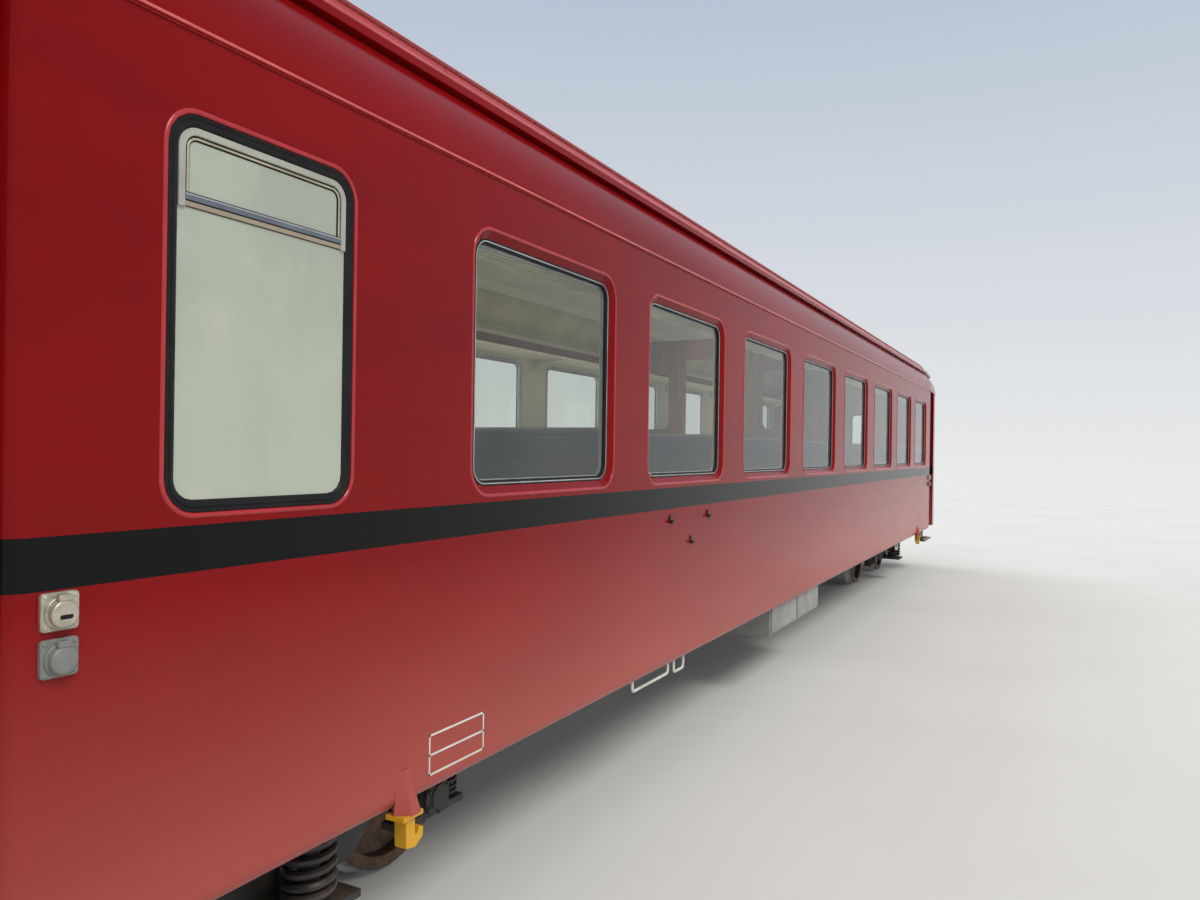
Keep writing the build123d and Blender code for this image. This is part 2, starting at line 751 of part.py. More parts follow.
add("body_bolsters", *both_ends(make_body_bolster()))


def make_end_frame():
    """Cross beam behind the end wall that carries the centre buffer, and its sill to the pivot beam."""
    end = BODY_END - END_WALL
    headstock = block(end - HEADSTOCK, end, -DOOR_IN_Y, DOOR_IN_Y, SKIRT_Z, FLOOR_LOW)
    sill = block(PIVOT_X + BOLSTER_WIDTH / 2, end - HEADSTOCK, -SILL_WIDTH / 2, SILL_WIDTH / 2,
                 CROSS_LOW, FLOOR_LOW)
    return headstock + sill


add("end_frames", *both_ends(make_end_frame()))


def make_coupling():
    """Draw hook beside the buffer: flat bar that ends in an eye plate."""
    start = BODY_END - END_WALL
    low_y = COUPLING_Y - COUPLING_WIDTH / 2
    centre_x = start + COUPLING_LENGTH
    centre_z = BUFFER_Z - COUPLING_BAR / 2
    outline = [(start, BUFFER_Z - COUPLING_BAR - COUPLING_DROP), (start, BUFFER_Z - COUPLING_DROP)]
    for number in range(EYE_SIDES - 1):
        angle = math.pi - (number + 0.5) * 2 * math.pi / EYE_SIDES
        outline.append((centre_x + HOOK_RADIUS * math.cos(angle), centre_z + HOOK_RADIUS * math.sin(angle)))
    eye_plane = Plane(origin=(centre_x + EYE_AHEAD, low_y, centre_z + EYE_RISE), z_dir=(0, 1, 0))
    plate = sideways(outline, low_y, low_y + COUPLING_WIDTH)
    return plate - extrude(eye_plane * Circle(EYE_RADIUS), COUPLING_WIDTH)


def make_buffer():
    """Centre buffer with crowned head, housing and a draw hook on each side."""
    start = BODY_END - END_WALL
    neck = start + BUFFER_HOUSING
    back = BODY_END + BUFFER_REACH - HEAD_THICKNESS
    housing = rod((start, 0, BUFFER_Z), (neck, 0, BUFFER_Z), HOUSING_RADIUS, DRUM_SIDES)
    shank = rod((neck, 0, BUFFER_Z), (back, 0, BUFFER_Z), SHANK_RADIUS, DRUM_SIDES)
    plate_plane = end_plane(back, 0, BUFFER_Z)
    plate = soft_rectangle(HEAD_WIDTH, HEAD_HEIGHT, HEAD_RADIUS, SMALL_STEPS)
    front = soft_rectangle(HEAD_WIDTH - 2 * HEAD_BEVEL, HEAD_HEIGHT - 2 * HEAD_BEVEL,
                           HEAD_RADIUS - HEAD_BEVEL / 2, SMALL_STEPS)
    edge = HEAD_THICKNESS / 2
    head = extrude(plate_plane * plate, edge)
    head += loft([plate_plane.offset(edge) * plate, plate_plane.offset(HEAD_THICKNESS) * front], ruled=True)
    buffer = housing + shank + head
    for hook in left_right(make_coupling()):
        buffer += hook
    return buffer


add("centre_buffers", *both_ends(make_buffer()))


def make_bellows():
    """Folded gangway surround around the end passage."""
    width = GANGWAY_WIDTH + 2 * BELLOWS_WALL
    height = GANGWAY_HEIGHT + 2 * BELLOWS_WALL
    middle = FLOOR_Z + GANGWAY_HEIGHT / 2
    start = end_plane(BODY_END, 0, middle)
    shape = None
    for number in range(BELLOWS_FOLDS):
        for step, inset, next_inset in ((0, 0.0, BELLOWS_GROOVE), (1, BELLOWS_GROOVE, 0.0)):
            place = start.offset((2 * number + step) * BELLOWS_FOLD)
            low, high = [
                soft_rectangle(width - 2 * cut, height - 2 * cut, BELLOWS_RADIUS - cut / 2, SMALL_STEPS)
                for cut in (inset, next_inset)
            ]
            fold = loft([place * low, place.offset(BELLOWS_FOLD) * high], ruled=True)
            shape = fold if shape is None else shape + fold
    passage = block(BODY_END, BODY_END + 2 * BELLOWS_FOLDS * BELLOWS_FOLD, -GANGWAY_WIDTH / 2,
                    GANGWAY_WIDTH / 2, FLOOR_Z, FLOOR_Z + GANGWAY_HEIGHT)
    return shape - passage


add("gangway_bellows", *both_ends(make_bellows()))


def make_gangway_door():
    """Hinged door in the end passage with a window."""
    low = FLOOR_Z + LEAF_GAP
    high = FLOOR_Z + GANGWAY_HEIGHT - GANGWAY_GAP
    half = GANGWAY_WIDTH / 2 - GANGWAY_GAP
    x = BODY_END - END_WALL
    leaf = block(x, x + GANGWAY_DOOR, -half, half, low, high)
    window = soft_rectangle(PASSAGE_WINDOW_WIDTH, PASSAGE_WINDOW_HEIGHT, PASSAGE_WINDOW_RADIUS, SMALL_STEPS)
    leaf -= extrude(end_plane(x, 0, WINDOW_MID_Z) * window, GANGWAY_DOOR)
    for z in HINGE_LEVELS:
        leaf += make_hinge(GANGWAY_HINGE_X, GANGWAY_HINGE_Y, z, x, GANGWAY_HINGE_Y + HINGE_LUG, 1)
    return leaf


gangway_door = make_gangway_door()
add("gangway_door_far", gangway_door)
add("gangway_door_near", mirror(gangway_door, about=Plane.YZ))


def make_leaf(first):
    """One leaf of the folding entrance door, at the +X end on the +Y side."""
    start = SIDE_END + LEAF_GAP if first else SIDE_END + 2 * LEAF_GAP + LEAF_WIDTH
    leaf = block(start, start + LEAF_WIDTH, DOOR_IN_Y, DOOR_OUT_Y, FLOOR_Z + LEAF_GAP, LEAF_TOP_Z)
    plane = Plane(origin=(start + LEAF_WIDTH / 2, DOOR_IN_Y, WINDOW_MID_Z - LEAF_WINDOW_DROP),
                  x_dir=(1, 0, 0), z_dir=(0, 1, 0))
    window = soft_rectangle(LEAF_WINDOW_WIDTH, LEAF_WINDOW_HEIGHT, LEAF_WINDOW_RADIUS, SMALL_STEPS)
    leaf -= extrude(plane * window, LEAF)
    for z in HINGE_LEVELS:
        if first:
            leaf += make_hinge(DOOR_HINGE_X, DOOR_HINGE_Y, z, start + HINGE_LUG, DOOR_IN_Y, 1)
            leaf += make_hinge(FOLD_HINGE_X, FOLD_HINGE_Y, z, FOLD_HINGE_X - HINGE_LUG, DOOR_OUT_Y, 0)
        else:
            leaf += make_hinge(FOLD_HINGE_X, FOLD_HINGE_Y, z, FOLD_HINGE_X + HINGE_LUG, DOOR_OUT_Y, 1)
    return leaf


# Entrance doors: name ending, mirrored to the near end, mirrored to the left side
ENTRANCES = [("far_right", False, False), ("far_left", False, True),
             ("near_right", True, False), ("near_left", True, True)]
for ending, near, left in ENTRANCES:
    for number in (1, 2):
        leaf = make_leaf(number == 1)
        if near:
            leaf = mirror(leaf, about=Plane.YZ)
        if left:
            leaf = mirror(leaf, about=Plane.XZ)
        add(f"door_leaf{number}_{ending}", leaf)


def make_steps():
    """Two treads and risers folded from one sheet, hung from the floor outside the door."""
    upper = FLOOR_Z - STEP_RISE
    lower = FLOOR_Z - 2 * STEP_RISE
    middle = STEP_OUT_Y - STEP_TREAD
    back = middle - STEP_TREAD
    outline = [
        (back, FLOOR_LOW), (back, upper), (middle, upper), (middle, lower), (STEP_OUT_Y, lower),
        (STEP_OUT_Y, lower - STEP_SHEET), (middle - STEP_SHEET, lower - STEP_SHEET),
        (middle - STEP_SHEET, upper - STEP_SHEET), (back - STEP_SHEET, upper - STEP_SHEET),
        (back - STEP_SHEET, FLOOR_LOW),
    ]
    return across(outline, SIDE_END + STEP_SIDE_GAP, SIDE_END + DOOR_OPENING - STEP_SIDE_GAP)


add("entrance_steps", *four_corners(make_steps()))


def make_partitions():
    """Walls across the saloon with doorways and glazed lights beside them."""
    top = RACK_Z + PARTITION_ABOVE_RACK
    low_y = INNER_Y - WALL_GAP
    # Station, glazed
    stations = [(NEAR_WALL_X, False), (PILLARS[WINDOW_COUNT // 2], True), (FAR_WALL_X, False)]
    for x, glazed in stations:
        outline = [(-low_y, FLOOR_Z), (-DOORWAY / 2, FLOOR_Z), (-DOORWAY / 2, FLOOR_Z + DOORWAY_HEIGHT),
                   (DOORWAY / 2, FLOOR_Z + DOORWAY_HEIGHT), (DOORWAY / 2, FLOOR_Z), (low_y, FLOOR_Z),
                   (low_y, CORNICE_Z), (low_y - 2 * CANT_IN, top), (-low_y + 2 * CANT_IN, top),
                   (-low_y, CORNICE_Z)]
        wall = across(outline, x - PARTITION / 2, x + PARTITION / 2)
        if glazed:
            for side in (-1, 1):
                plane = end_plane(x - PARTITION / 2, side * LIGHT_Y, LIGHT_Z)
                light = soft_rectangle(LIGHT_WIDTH, LIGHT_HEIGHT, LIGHT_RADIUS, SMALL_STEPS)
                wall -= extrude(plane * light, PARTITION)
                add("window_panes", extrude(plane.offset((PARTITION - GLASS) / 2) * light, GLASS))
        add("partitions", wall)


make_partitions()


def make_toilet_walls():
    """Corner wall that closes the toilet off from the aisle and the first bay."""
    start = NEAR_WALL_X + PARTITION / 2
    end = PILLARS[0] - TOILET_TO_PILLAR
    out = -INNER_Y + WALL_GAP
    outline = [(start, -TOILET_Y), (end, -TOILET_Y), (end, out), (end - PARTITION, out),
               (end - PARTITION, -TOILET_Y - PARTITION), (start, -TOILET_Y - PARTITION)]
    return upright(outline, FLOOR_Z, CORNICE_Z)


add("toilet_walls", make_toilet_walls())


def make_racks():
    """Slatted luggage racks over the windows, on brackets under the slats at the pillars."""
    front = INNER_Y - RACK_DEPTH
    low = RACK_Z - RACK_SHEET
    spacing = (RACK_DEPTH - 2 * RACK_SLAT) / (RACK_SLATS - 1)
    middle_wall = PILLARS[WINDOW_COUNT // 2]
    spans = [(PILLARS[0] + PARTITION, middle_wall - PARTITION),
             (middle_wall + PARTITION, PILLARS[-1] - PARTITION)]
    outline = [(INNER_Y, low), (front, low), (front, low - RACK_LIP), (INNER_Y, low - RACK_BRACKET)]
    for start, end in spans:
        rack = block(start, end, front, front + RACK_SHEET, RACK_Z, RACK_Z + RACK_LIP)
        for number in range(RACK_SLATS):
            y = front + number * spacing
            rack += block(start, end, y, y + RACK_SLAT, low, RACK_Z)
        stations = [x for x in PILLARS if start < x < end] + [start + RACK_SHEET, end - RACK_SHEET]
        for x in stations:
            rack += across(outline, x - RACK_SHEET, x + RACK_SHEET)
        add("luggage_racks", *left_right(rack))


make_racks()


def make_seats():
    """Facing benches in every window bay, two places wide on both sides of the aisle."""
    out = INNER_Y - WALL_GAP
    aisle = AISLE / 2
    pan_top = FLOOR_Z + SEAT_HEIGHT - SEAT_THICKNESS
    back_high = FLOOR_Z + SEAT_HEIGHT + SEAT_BACK_HEIGHT
    last = len(PILLARS) - 1
    for number, x in enumerate(PILLARS):
        # Each bench: direction that it faces, distance from the pillar line to the back of its shell
        if number == WINDOW_COUNT // 2:
            benches = [(-1, PARTITION / 2), (1, PARTITION / 2)]
        elif number == 0:
            benches = [(1, 0.0)]
        elif number == last:
            benches = [(-1, 0.0)]
        else:
            benches = [(-1, 0.0), (1, 0.0)]
        shells = []
        for facing, offset in benches:
            near = offset + SEAT_SHELL
            far = near + SEAT_BACK + SEAT_DEPTH
            outline = [(offset, FLOOR_Z), (offset, back_high), (near, back_high), (near, pan_top),
                       (far - SEAT_PAN, pan_top), (far - SEAT_PAN, pan_top - SEAT_PAN),
                       (near + SEAT_LEG, pan_top - SEAT_PAN), (near + SEAT_LEG, FLOOR_Z)]
            shells.append(sideways([(x + facing * along, z) for along, z in outline], aisle, out))
            low = pan_top + CUSHION_GAP
            cushion = block(x + facing * (near + SEAT_BACK), x + facing * far, aisle + CUSHION_INSET,
                            out - CUSHION_INSET, low, low + SEAT_THICKNESS)
            back = block(x + facing * (near + CUSHION_GAP), x + facing * (near + SEAT_BACK - CUSHION_GAP),
                         aisle + CUSHION_INSET, out - CUSHION_INSET, low, back_high - BACK_BELOW_SHELL)
            add("seat_cushions", *left_right(cushion))
            add("seat_backs", *left_right(back))
        if len(shells) == 2 and not benches[0][1]:
            shells = [shells[0] + shells[1]]
        for shell in shells:
            add("seat_frames", *left_right(shell))


make_seats()


def make_wheel(place):
    """Flanged wheel with dished web and hub, its flange towards the middle of the plane."""
    back = BACK_TO_BACK / 2
    face = back + RIM_WIDTH
    tip = WHEEL_RADIUS + FLANGE_HEIGHT
    outside = [(back, tip), (back + FLANGE_WIDTH / 2, tip), (back + FLANGE_WIDTH, WHEEL_RADIUS),
               (face, WHEEL_RADIUS - TREAD_TAPER)]
    dish = [(back + WEB_OUT, HUB_RADIUS), (face, WHEEL_RADIUS - RIM_HEIGHT)]
    hub = [(back, HUB_RADIUS), (face + HUB_PROUD, HUB_RADIUS)]
    rim = turned(place, outside, WHEEL_SIDES) - turned(place, dish, WHEEL_SIDES)
    return rim + turned(place, hub, WHEEL_SIDES)


def make_wheelset(x, with_pinion):
    """Axle with two flanged wheels, and the braking pinion on some."""
    end_y = BEAM_Y + BEAM_WIDTH / 2
    shoulder = BOX_IN_Y - JOURNAL_BACK
    place = Plane(origin=(0, 0, 0), x_dir=(1, 0, 0), z_dir=(0, 1, 0))
    axle = [(-end_y, JOURNAL_RADIUS), (-shoulder, JOURNAL_RADIUS), (-shoulder, AXLE_RADIUS),
            (shoulder, AXLE_RADIUS), (shoulder, JOURNAL_RADIUS), (end_y, JOURNAL_RADIUS)]
    body = turned(place, axle, AXLE_SIDES)
    for wheel in left_right(make_wheel(place)):
        body += wheel
    if with_pinion:
        body += make_pinion(place)
    return Pos(x, 0, AXLE_Z) * body


def make_pinion(place):
    """Toothed wheel that would mesh with a ladder rack between the rails."""
    pitch_radius = PINION_TEETH * RACK_PITCH / (2 * math.pi)
    root = pitch_radius - PINION_DEDENDUM
    tip = pitch_radius + PINION_ADDENDUM
    step = 2 * math.pi / PINION_TEETH
    points = []
    for tooth in range(PINION_TEETH):
        # Corner of a tooth: share of the tooth pitch from its centre line, radius
        for share, radius in ((-TOOTH_FOOT, root), (-TOOTH_TIP, tip), (TOOTH_TIP, tip), (TOOTH_FOOT, root)):
            angle = (tooth + share) * step
            points.append((radius * math.sin(angle), radius * math.cos(angle)))
    gear = sideways(points, -PINION_WIDTH / 2, PINION_WIDTH / 2)
    boss = [(-PINION_BOSS_LENGTH / 2, PINION_BOSS), (PINION_BOSS_LENGTH / 2, PINION_BOSS)]
    return gear + turned(place, boss, AXLE_SIDES)


def make_bogie_frame():
    """Two dropped side beams, two round transoms and the outriggers for the coil springs."""
    upper = [(BEAM_END, BEAM_TOP), (BEAM_RISE_TOP, BEAM_TOP), (DROP_TOP_X, DROP_TOP)]
    lower = [(BEAM_END, BEAM_LOW), (BEAM_RISE_LOW, BEAM_LOW), (DROP_LOW_X, DROP_LOW)]
    outline = upper + [(-x, z) for x, z in reversed(upper)] + [(-x, z) for x, z in lower] + lower[::-1]
    half = BOLSTER_WIDTH / 2
    seat_top = DROP_LOW + SEAT_PLATE
    beam = sideways(outline, BOX_IN_Y, BOX_OUT_Y)
    seat = block(-half, half, BOX_OUT_Y, OUTRIGGER_Y, DROP_LOW, seat_top)
    gusset = across([(BOX_OUT_Y, seat_top), (SPRING_Y - SPRING_RADIUS - GUSSET, seat_top),
                     (BOX_OUT_Y, DROP_TOP)], -GUSSET, GUSSET)
    transom_z = (DROP_LOW + DROP_TOP) / 2
    frame = None
    for side in (beam, seat, gusset):
        for piece in left_right(side):
            frame = piece if frame is None else frame + piece
    for x in (-TRANSOM_X, TRANSOM_X):
        frame += rod((x, -BOX_IN_Y, transom_z), (x, BOX_IN_Y, transom_z), TRANSOM_RADIUS)
    return frame


def make_bolster():
    """Swing beam on the coil springs, with the hole for the body's pivot pin."""
    half = BOLSTER_WIDTH / 2
    low = BOLSTER_TOP - BOLSTER_DEPTH
    shape = block(-half, half, -BOX_IN_Y, BOX_IN_Y, low, BOLSTER_TOP)
    for piece in left_right(block(-half, half, BOX_IN_Y, OUTRIGGER_Y, SPRING_TOP, BOLSTER_TOP - ARM_STEP)):
        shape += piece
    hole = (PIN_RADIUS + PIN_GAP) / math.cos(math.pi / ROD_SIDES)
    return shape - rod((0, 0, low), (0, 0, BOLSTER_TOP), hole)


def make_coil(x, y, low, high, radius, turns, sides):
    """Coil spring as a ridged core, one ridge for each turn."""
    pitch = (high - low) / turns
    steps = [(0.0, radius * COIL_END)]
    for turn in range(turns):
        steps.append(((turn + 0.5) * pitch, radius))
        steps.append(((turn + 1) * pitch, radius * (COIL_GROOVE if turn < turns - 1 else COIL_END)))
    return turned(Plane(origin=(x, y, low), z_dir=(0, 0, 1)), steps, sides)


def make_axle_box(x):
    """Housing round the journal with spring wings and a round cover."""
    half = BOX_SIZE / 2
    top = AXLE_Z + half - BOX_TOP_CUT
    body = block(-half, half, BOX_IN_Y, BOX_OUT_Y, AXLE_Z - half, top)
    wings = block(-WING, WING, BOX_IN_Y, BOX_OUT_Y, AXLE_Z - half, AXLE_Z - half + WING_THICKNESS)
    guide = block(-half + GUIDE_IN, half - GUIDE_IN, BOX_IN_Y + GUIDE_EDGE, BOX_OUT_Y - GUIDE_EDGE,
                  top, BEAM_LOW)
    place = Plane(origin=(0, 0, AXLE_Z), x_dir=(1, 0, 0), z_dir=(0, 1, 0))
    cover = turned(place, [(BOX_OUT_Y, COVER_RADIUS), (BOX_OUT_Y + COVER_DEPTH, COVER_RADIUS)], AXLE_SIDES)
    # The bore's flats face the journal's corners, which leaves the running gap
    bore_radius = (JOURNAL_RADIUS + JOURNAL_GAP) / math.cos(math.pi / AXLE_SIDES)
    outline = RegularPolygon(bore_radius, AXLE_SIDES, rotation=180.0 / AXLE_SIDES)
    bore = extrude(place.offset(BOX_IN_Y) * outline, BEAM_WIDTH + JOURNAL_END_GAP)
    return Pos(x, 0, 0) * ((body + wings + cover + guide) - bore)


def make_brakes():
    """Brake blocks on the inner side of each wheel, on a beam between the side frames."""
    block_y = BACK_TO_BACK / 2 + RIM_WIDTH - BLOCK_WIDTH / 2
    inner = WHEEL_RADIUS + BRAKE_GAP
    outer = inner + BLOCK_THICKNESS
    stretch = 1.0 / math.cos(math.radians(BLOCK_ANGLE / BLOCK_STEPS / 2))
    for axle in (-1, 1):
        points = []
        # Each face of the block: radius, order in which its corners are joined
        faces = [(inner * stretch, range(-BLOCK_STEPS, BLOCK_STEPS + 1)),
                 (outer, range(BLOCK_STEPS, -BLOCK_STEPS - 1, -1))]
        for radius, order in faces:
            for number in order:
                angle = math.radians(BLOCK_ANGLE * number / BLOCK_STEPS)
                points.append((axle * (WHEELBASE / 2 - radius * math.cos(angle)),
                               AXLE_Z + radius * math.sin(angle)))
        gear_x = axle * (WHEELBASE / 2 - outer - BRAKE_BEAM / 2 + BLOCK_SEAT)
        half = BRAKE_BEAM / 2
        gear = block(gear_x - half, gear_x + half, -BOX_IN_Y, BOX_IN_Y, AXLE_Z - half, AXLE_Z + half)
        for shoe in left_right(sideways(points, block_y - BLOCK_WIDTH / 2, block_y + BLOCK_WIDTH / 2)):
            gear += shoe
        yield gear


# Bogies: name, direction from the middle of the coach
for name, end in (("near", -1), ("far", 1)):
    place = Pos(end * PIVOT_X, 0, 0)
    add(f"bogie_frame_{name}", place * make_bogie_frame())
    add(f"bogie_bolster_{name}", place * make_bolster())
    coil = make_coil(0, SPRING_Y, DROP_LOW + SEAT_PLATE, SPRING_TOP, SPRING_RADIUS, SPRING_TURNS, AXLE_SIDES)
    add(f"bogie_springs_{name}", *[place * piece for piece in left_right(coil)])
    for axle in (-1, 1):
        boxes = left_right(make_axle_box(axle * WHEELBASE / 2))
        add(f"axle_boxes_{name}", *[place * piece for piece in boxes])
        for side in (-1, 1):
            x = axle * WHEELBASE / 2 + side * PRIMARY_X
            low = AXLE_Z - BOX_SIZE / 2 + WING_THICKNESS
            spring = make_coil(x, BEAM_Y, low, BEAM_LOW, PRIMARY_RADIUS, PRIMARY_TURNS, RAIL_SIDES)
            add(f"primary_springs_{name}", *[place * piece for piece in left_right(spring)])
        inner_axle = axle == -end
        wheelset = make_wheelset(end * PIVOT_X + axle * WHEELBASE / 2, inner_axle)
        add(f"wheelset_{name}_{'inner' if inner_axle else 'outer'}", wheelset)
    for gear in make_brakes():
        add(f"brake_gear_{name}", place * gear)


def make_battery_box():
    """Equipment box hung from the sole bar, with two doors on its outer face."""
    start = -SIDE_END + BOX_START
    out = -INNER_Y + WALL_GAP + BOX_BEHIND_WALL
    low = SOLE_LOW - BOX_HEIGHT
    cut = BOX_CHAMFER
    outline = [(out + cut, low), (out + BOX_DEPTH - cut, low), (out + BOX_DEPTH, low + cut),
               (out + BOX_DEPTH, SOLE_LOW), (out, SOLE_LOW), (out, low + cut)]
    box = across(outline, start, start + BOX_LENGTH)
    door_length = BOX_LENGTH / 2 - 3 * BOX_DOOR_EDGE / 2
    for number in (0, 1):
        x = start + BOX_DOOR_EDGE + number * (door_length + BOX_DOOR_EDGE)
        box += block(x, x + door_length, out - BOX_DOOR, out, low + BOX_DOOR_EDGE, SOLE_LOW - BOX_DOOR_EDGE)
    return box


add("equipment_box", make_battery_box())


def make_air_tanks():
    """Air reservoirs along the coach, strapped to brackets under two floor beams."""
    start = PILLARS[TANK_PILLAR] - TANK_BEYOND
    length = WINDOW_PITCH + 2 * TANK_BEYOND
    steps = [(0.0, TANK_RADIUS * TANK_END), (TANK_DOME, TANK_RADIUS), (length - TANK_DOME, TANK_RADIUS),
             (length, TANK_RADIUS * TANK_END)]
    for y in TANK_YS:
        tank = turned(end_plane(start, y, CROSS_LOW - TANK_DROP), steps, DRUM_SIDES)
        for x in PILLARS[TANK_PILLAR:TANK_PILLAR + 2]:
            tank += block(x - TANK_STRAP / 2, x + TANK_STRAP / 2, y - TANK_SADDLE, y + TANK_SADDLE,
                          CROSS_LOW - TANK_SADDLE, CROSS_LOW)
        add("air_tanks", tank)


make_air_tanks()


def make_small_tank():
    """Small reservoir across the coach under the -Y sole bar."""
    x = -SIDE_END + SMALL_TANK_X
    z = SOLE_LOW - SMALL_TANK_RADIUS - SMALL_TANK_GAP
    out = -INNER_Y + SMALL_TANK_IN
    tank = rod((x, out, z), (x, out + SMALL_TANK_LENGTH, z), SMALL_TANK_RADIUS, DRUM_SIDES)
    saddle = block(x - SMALL_SADDLE, x + SMALL_SADDLE, -SOLE_IN_Y - SMALL_SADDLE, -SOLE_IN_Y - SMALL_TANK_GAP,
                   z + SMALL_TANK_RADIUS / 2, SOLE_LOW)
    return tank + saddle


add("air_tanks", make_small_tank())


def make_brake_cylinder():
    """Brake cylinder with its bracket and lever, under a floor beam."""
    x = PILLARS[CYLINDER_PILLAR]
    z = CROSS_LOW - CYLINDER_DROP
    front = x + CYLINDER_AHEAD
    tip = front + PISTON_LENGTH
    cylinder = rod((x - CYLINDER_BEHIND, 0, z), (front, 0, z), CYLINDER_RADIUS, DRUM_SIDES)
    piston = rod((front, 0, z), (tip, 0, z), PISTON_RADIUS)
    bracket = block(x - CROSS_WIDTH / 2, x + CROSS_WIDTH / 2, -CYLINDER_BRACKET, CYLINDER_BRACKET,
                    z + CYLINDER_RADIUS / 2, CROSS_LOW)
    lever = block(tip - LEVER_WIDTH / 2, tip + LEVER_WIDTH / 2, -LEVER_REACH, LEVER_REACH,
                  z - LEVER_HEIGHT / 2, z + LEVER_HEIGHT / 2)
    return cylinder + piston + bracket + lever


add("brake_cylinder", make_brake_cylinder())


def make_jacking_bracket():
    """Prow-shaped lifting bracket on the skirt, with a foot that follows the skirt's curve."""
    x = -SIDE_END + BRACKET_X
    face_y = -HALF_WIDTH
    under_y = face_y + SKIRT_RADIUS * (1 - math.tan(math.pi / 8))

    def prow_section(z, back, front, out):
        return make_face(Polyline((x - back, face_y, z), (x + back, face_y, z), (x + front, face_y - out, z),
                                  (x - front, face_y - out, z), close=True))

    low = prow_section(BRACKET_LOW, BRACKET_FOOT, BRACKET_NOSE, BRACKET_OUT)
    top = prow_section(BRACKET_LOW + BRACKET_HEIGHT, BRACKET_TOP, BRACKET_NOSE / 2, BRACKET_TOP_OUT)
    corner_z = SKIRT_Z + SKIRT_RADIUS * (1 - math.tan(math.pi / 8))
    foot = across([(face_y, BRACKET_LOW), (face_y, corner_z), (under_y, SKIRT_Z), (under_y, BRACKET_LOW)],
                  x - BRACKET_TOP, x + BRACKET_TOP)
    return loft([low, top], ruled=True) + foot


add("jacking_brackets", *four_corners(make_jacking_bracket()))


def make_hook():
    """Yellow cast hook under the bracket, open away from the near end."""
    x = -SIDE_END + BRACKET_X
    top = BRACKET_LOW - HOOK_FLANGE
    y0 = -HALF_WIDTH - HOOK_OUT
    y1 = y0 + HOOK_THICKNESS
    flange = block(x - BRACKET_FOOT, x + BRACKET_FOOT - HOOK_EDGE, y0 - HOOK_EDGE, y1 + HOOK_EDGE,
                   top, BRACKET_LOW)
    # Corner of the hook: distance along the coach from the bracket, distance below the flange
    outline = [(-30.0, 0.0), (-26.0, 102.0), (22.0, 112.0), (62.0, 88.0), (66.0, 54.0), (44.0, 46.0),
               (34.0, 68.0), (20.0, 68.0), (18.0, 0.0)]
    return flange + sideways([(x + along, top - down) for along, down in outline], y0, y1)


add("lifting_hooks", *four_corners(make_hook()))


def make_socket(height):
    """Flanged socket with a round lid."""
    x = -SIDE_END + SOCKET_X
    z = RAIL_Z + height
    half = SOCKET_SIZE / 2
    y = -HALF_WIDTH
    front = y - SOCKET_FLANGE
    flange = block(x - half, x + half, front, y, z - half, z + half)
    lid_z = z - SOCKET_LID_DROP
    lid = rod((x, front - SOCKET_LID, lid_z), (x, front, lid_z), SOCKET_LID_RADIUS, AXLE_SIDES)
    return flange + lid


for height in SOCKET_HEIGHTS:
    add("wall_sockets", *four_corners(make_socket(height)))


def make_handle(start, length, drop):
    """Bent bar under the flat of the skirt."""
    y = -HALF_WIDTH + HANDLE_IN
    x0 = -SIDE_END + start
    x1 = x0 + length
    low = SKIRT_Z - drop
    half = HANDLE_BAR / 2
    outline = [(x0 - half, SKIRT_Z), (x0 - half, low - half), (x1 + half, low - half), (x1 + half, SKIRT_Z),
               (x1 - half, SKIRT_Z), (x1 - half, low + half), (x0 + half, low + half), (x0 + half, SKIRT_Z)]
    return sideways(outline, y - half, y + half)


for start, length, drop in HANDLES:
    handle = make_handle(start, length, drop)
    add("handrails", handle, Rot(0, 0, 180) * handle)


def make_holder(along, height, width):
    """Small bracket that keeps a board on the wall."""
    x = -SIDE_END + along
    z = RAIL_Z + height
    y = -HALF_WIDTH
    half = HOLDER_HEIGHT / 2
    foot = block(x - width / 2, x + width / 2, y - HOLDER_FOOT, y, z - half, z + half)
    lip = block(x - width / 2, x + width / 2, y - 3 * HOLDER_FOOT, y - HOLDER_FOOT, z - half, z - half / 3)
    return foot + lip


for along, height, width in HOLDERS:
    holder = make_holder(along, height, width)
    add("board_holders", holder, Rot(0, 0, 180) * holder)


def make_grab_rail():
    """Upright rail in the entrance recess, on the jamb of the end column."""
    column_x = SIDE_END + DOOR_OPENING
    x = column_x - GRAB_OUT
    y = DOOR_OUT_Y + GRAB_SIDE
    rail = rod((x, y, GRAB_LOW), (x, y, GRAB_HIGH), GRAB_RADIUS, RAIL_SIDES)
    for z in (GRAB_LOW + GRAB_FOOT, GRAB_HIGH - GRAB_FOOT):
        rail += rod((x, y, z), (column_x, y, z), GRAB_ARM_RADIUS, HINGE_SIDES)
    return rail


add("handrails", *four_corners(make_grab_rail()))


def make_tail_lamp():
    """Round lamp on the end wall with a bevelled rim."""
    y = half_width_at(BODY_END) - LAMP_IN
    steps = [(0.0, LAMP_RADIUS), (LAMP_DEPTH - LAMP_BEVEL, LAMP_RADIUS),
             (LAMP_DEPTH, LAMP_RADIUS - LAMP_BEVEL)]
    return turned(end_plane(BODY_END, y, LAMP_Z), steps, DRUM_SIDES)


add("tail_lamps", *four_corners(make_tail_lamp()))

os.makedirs("parts", exist_ok=True)
for name, solids in nodes.items():
    shape = solids[0] if len(solids) == 1 else Compound(children=solids)
    export_step(shape, f"parts/{name}.step")
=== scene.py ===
import json
from math import copysign, cos, exp, pi, radians, sin

import bmesh
import bpy
from mathutils import Matrix, Vector


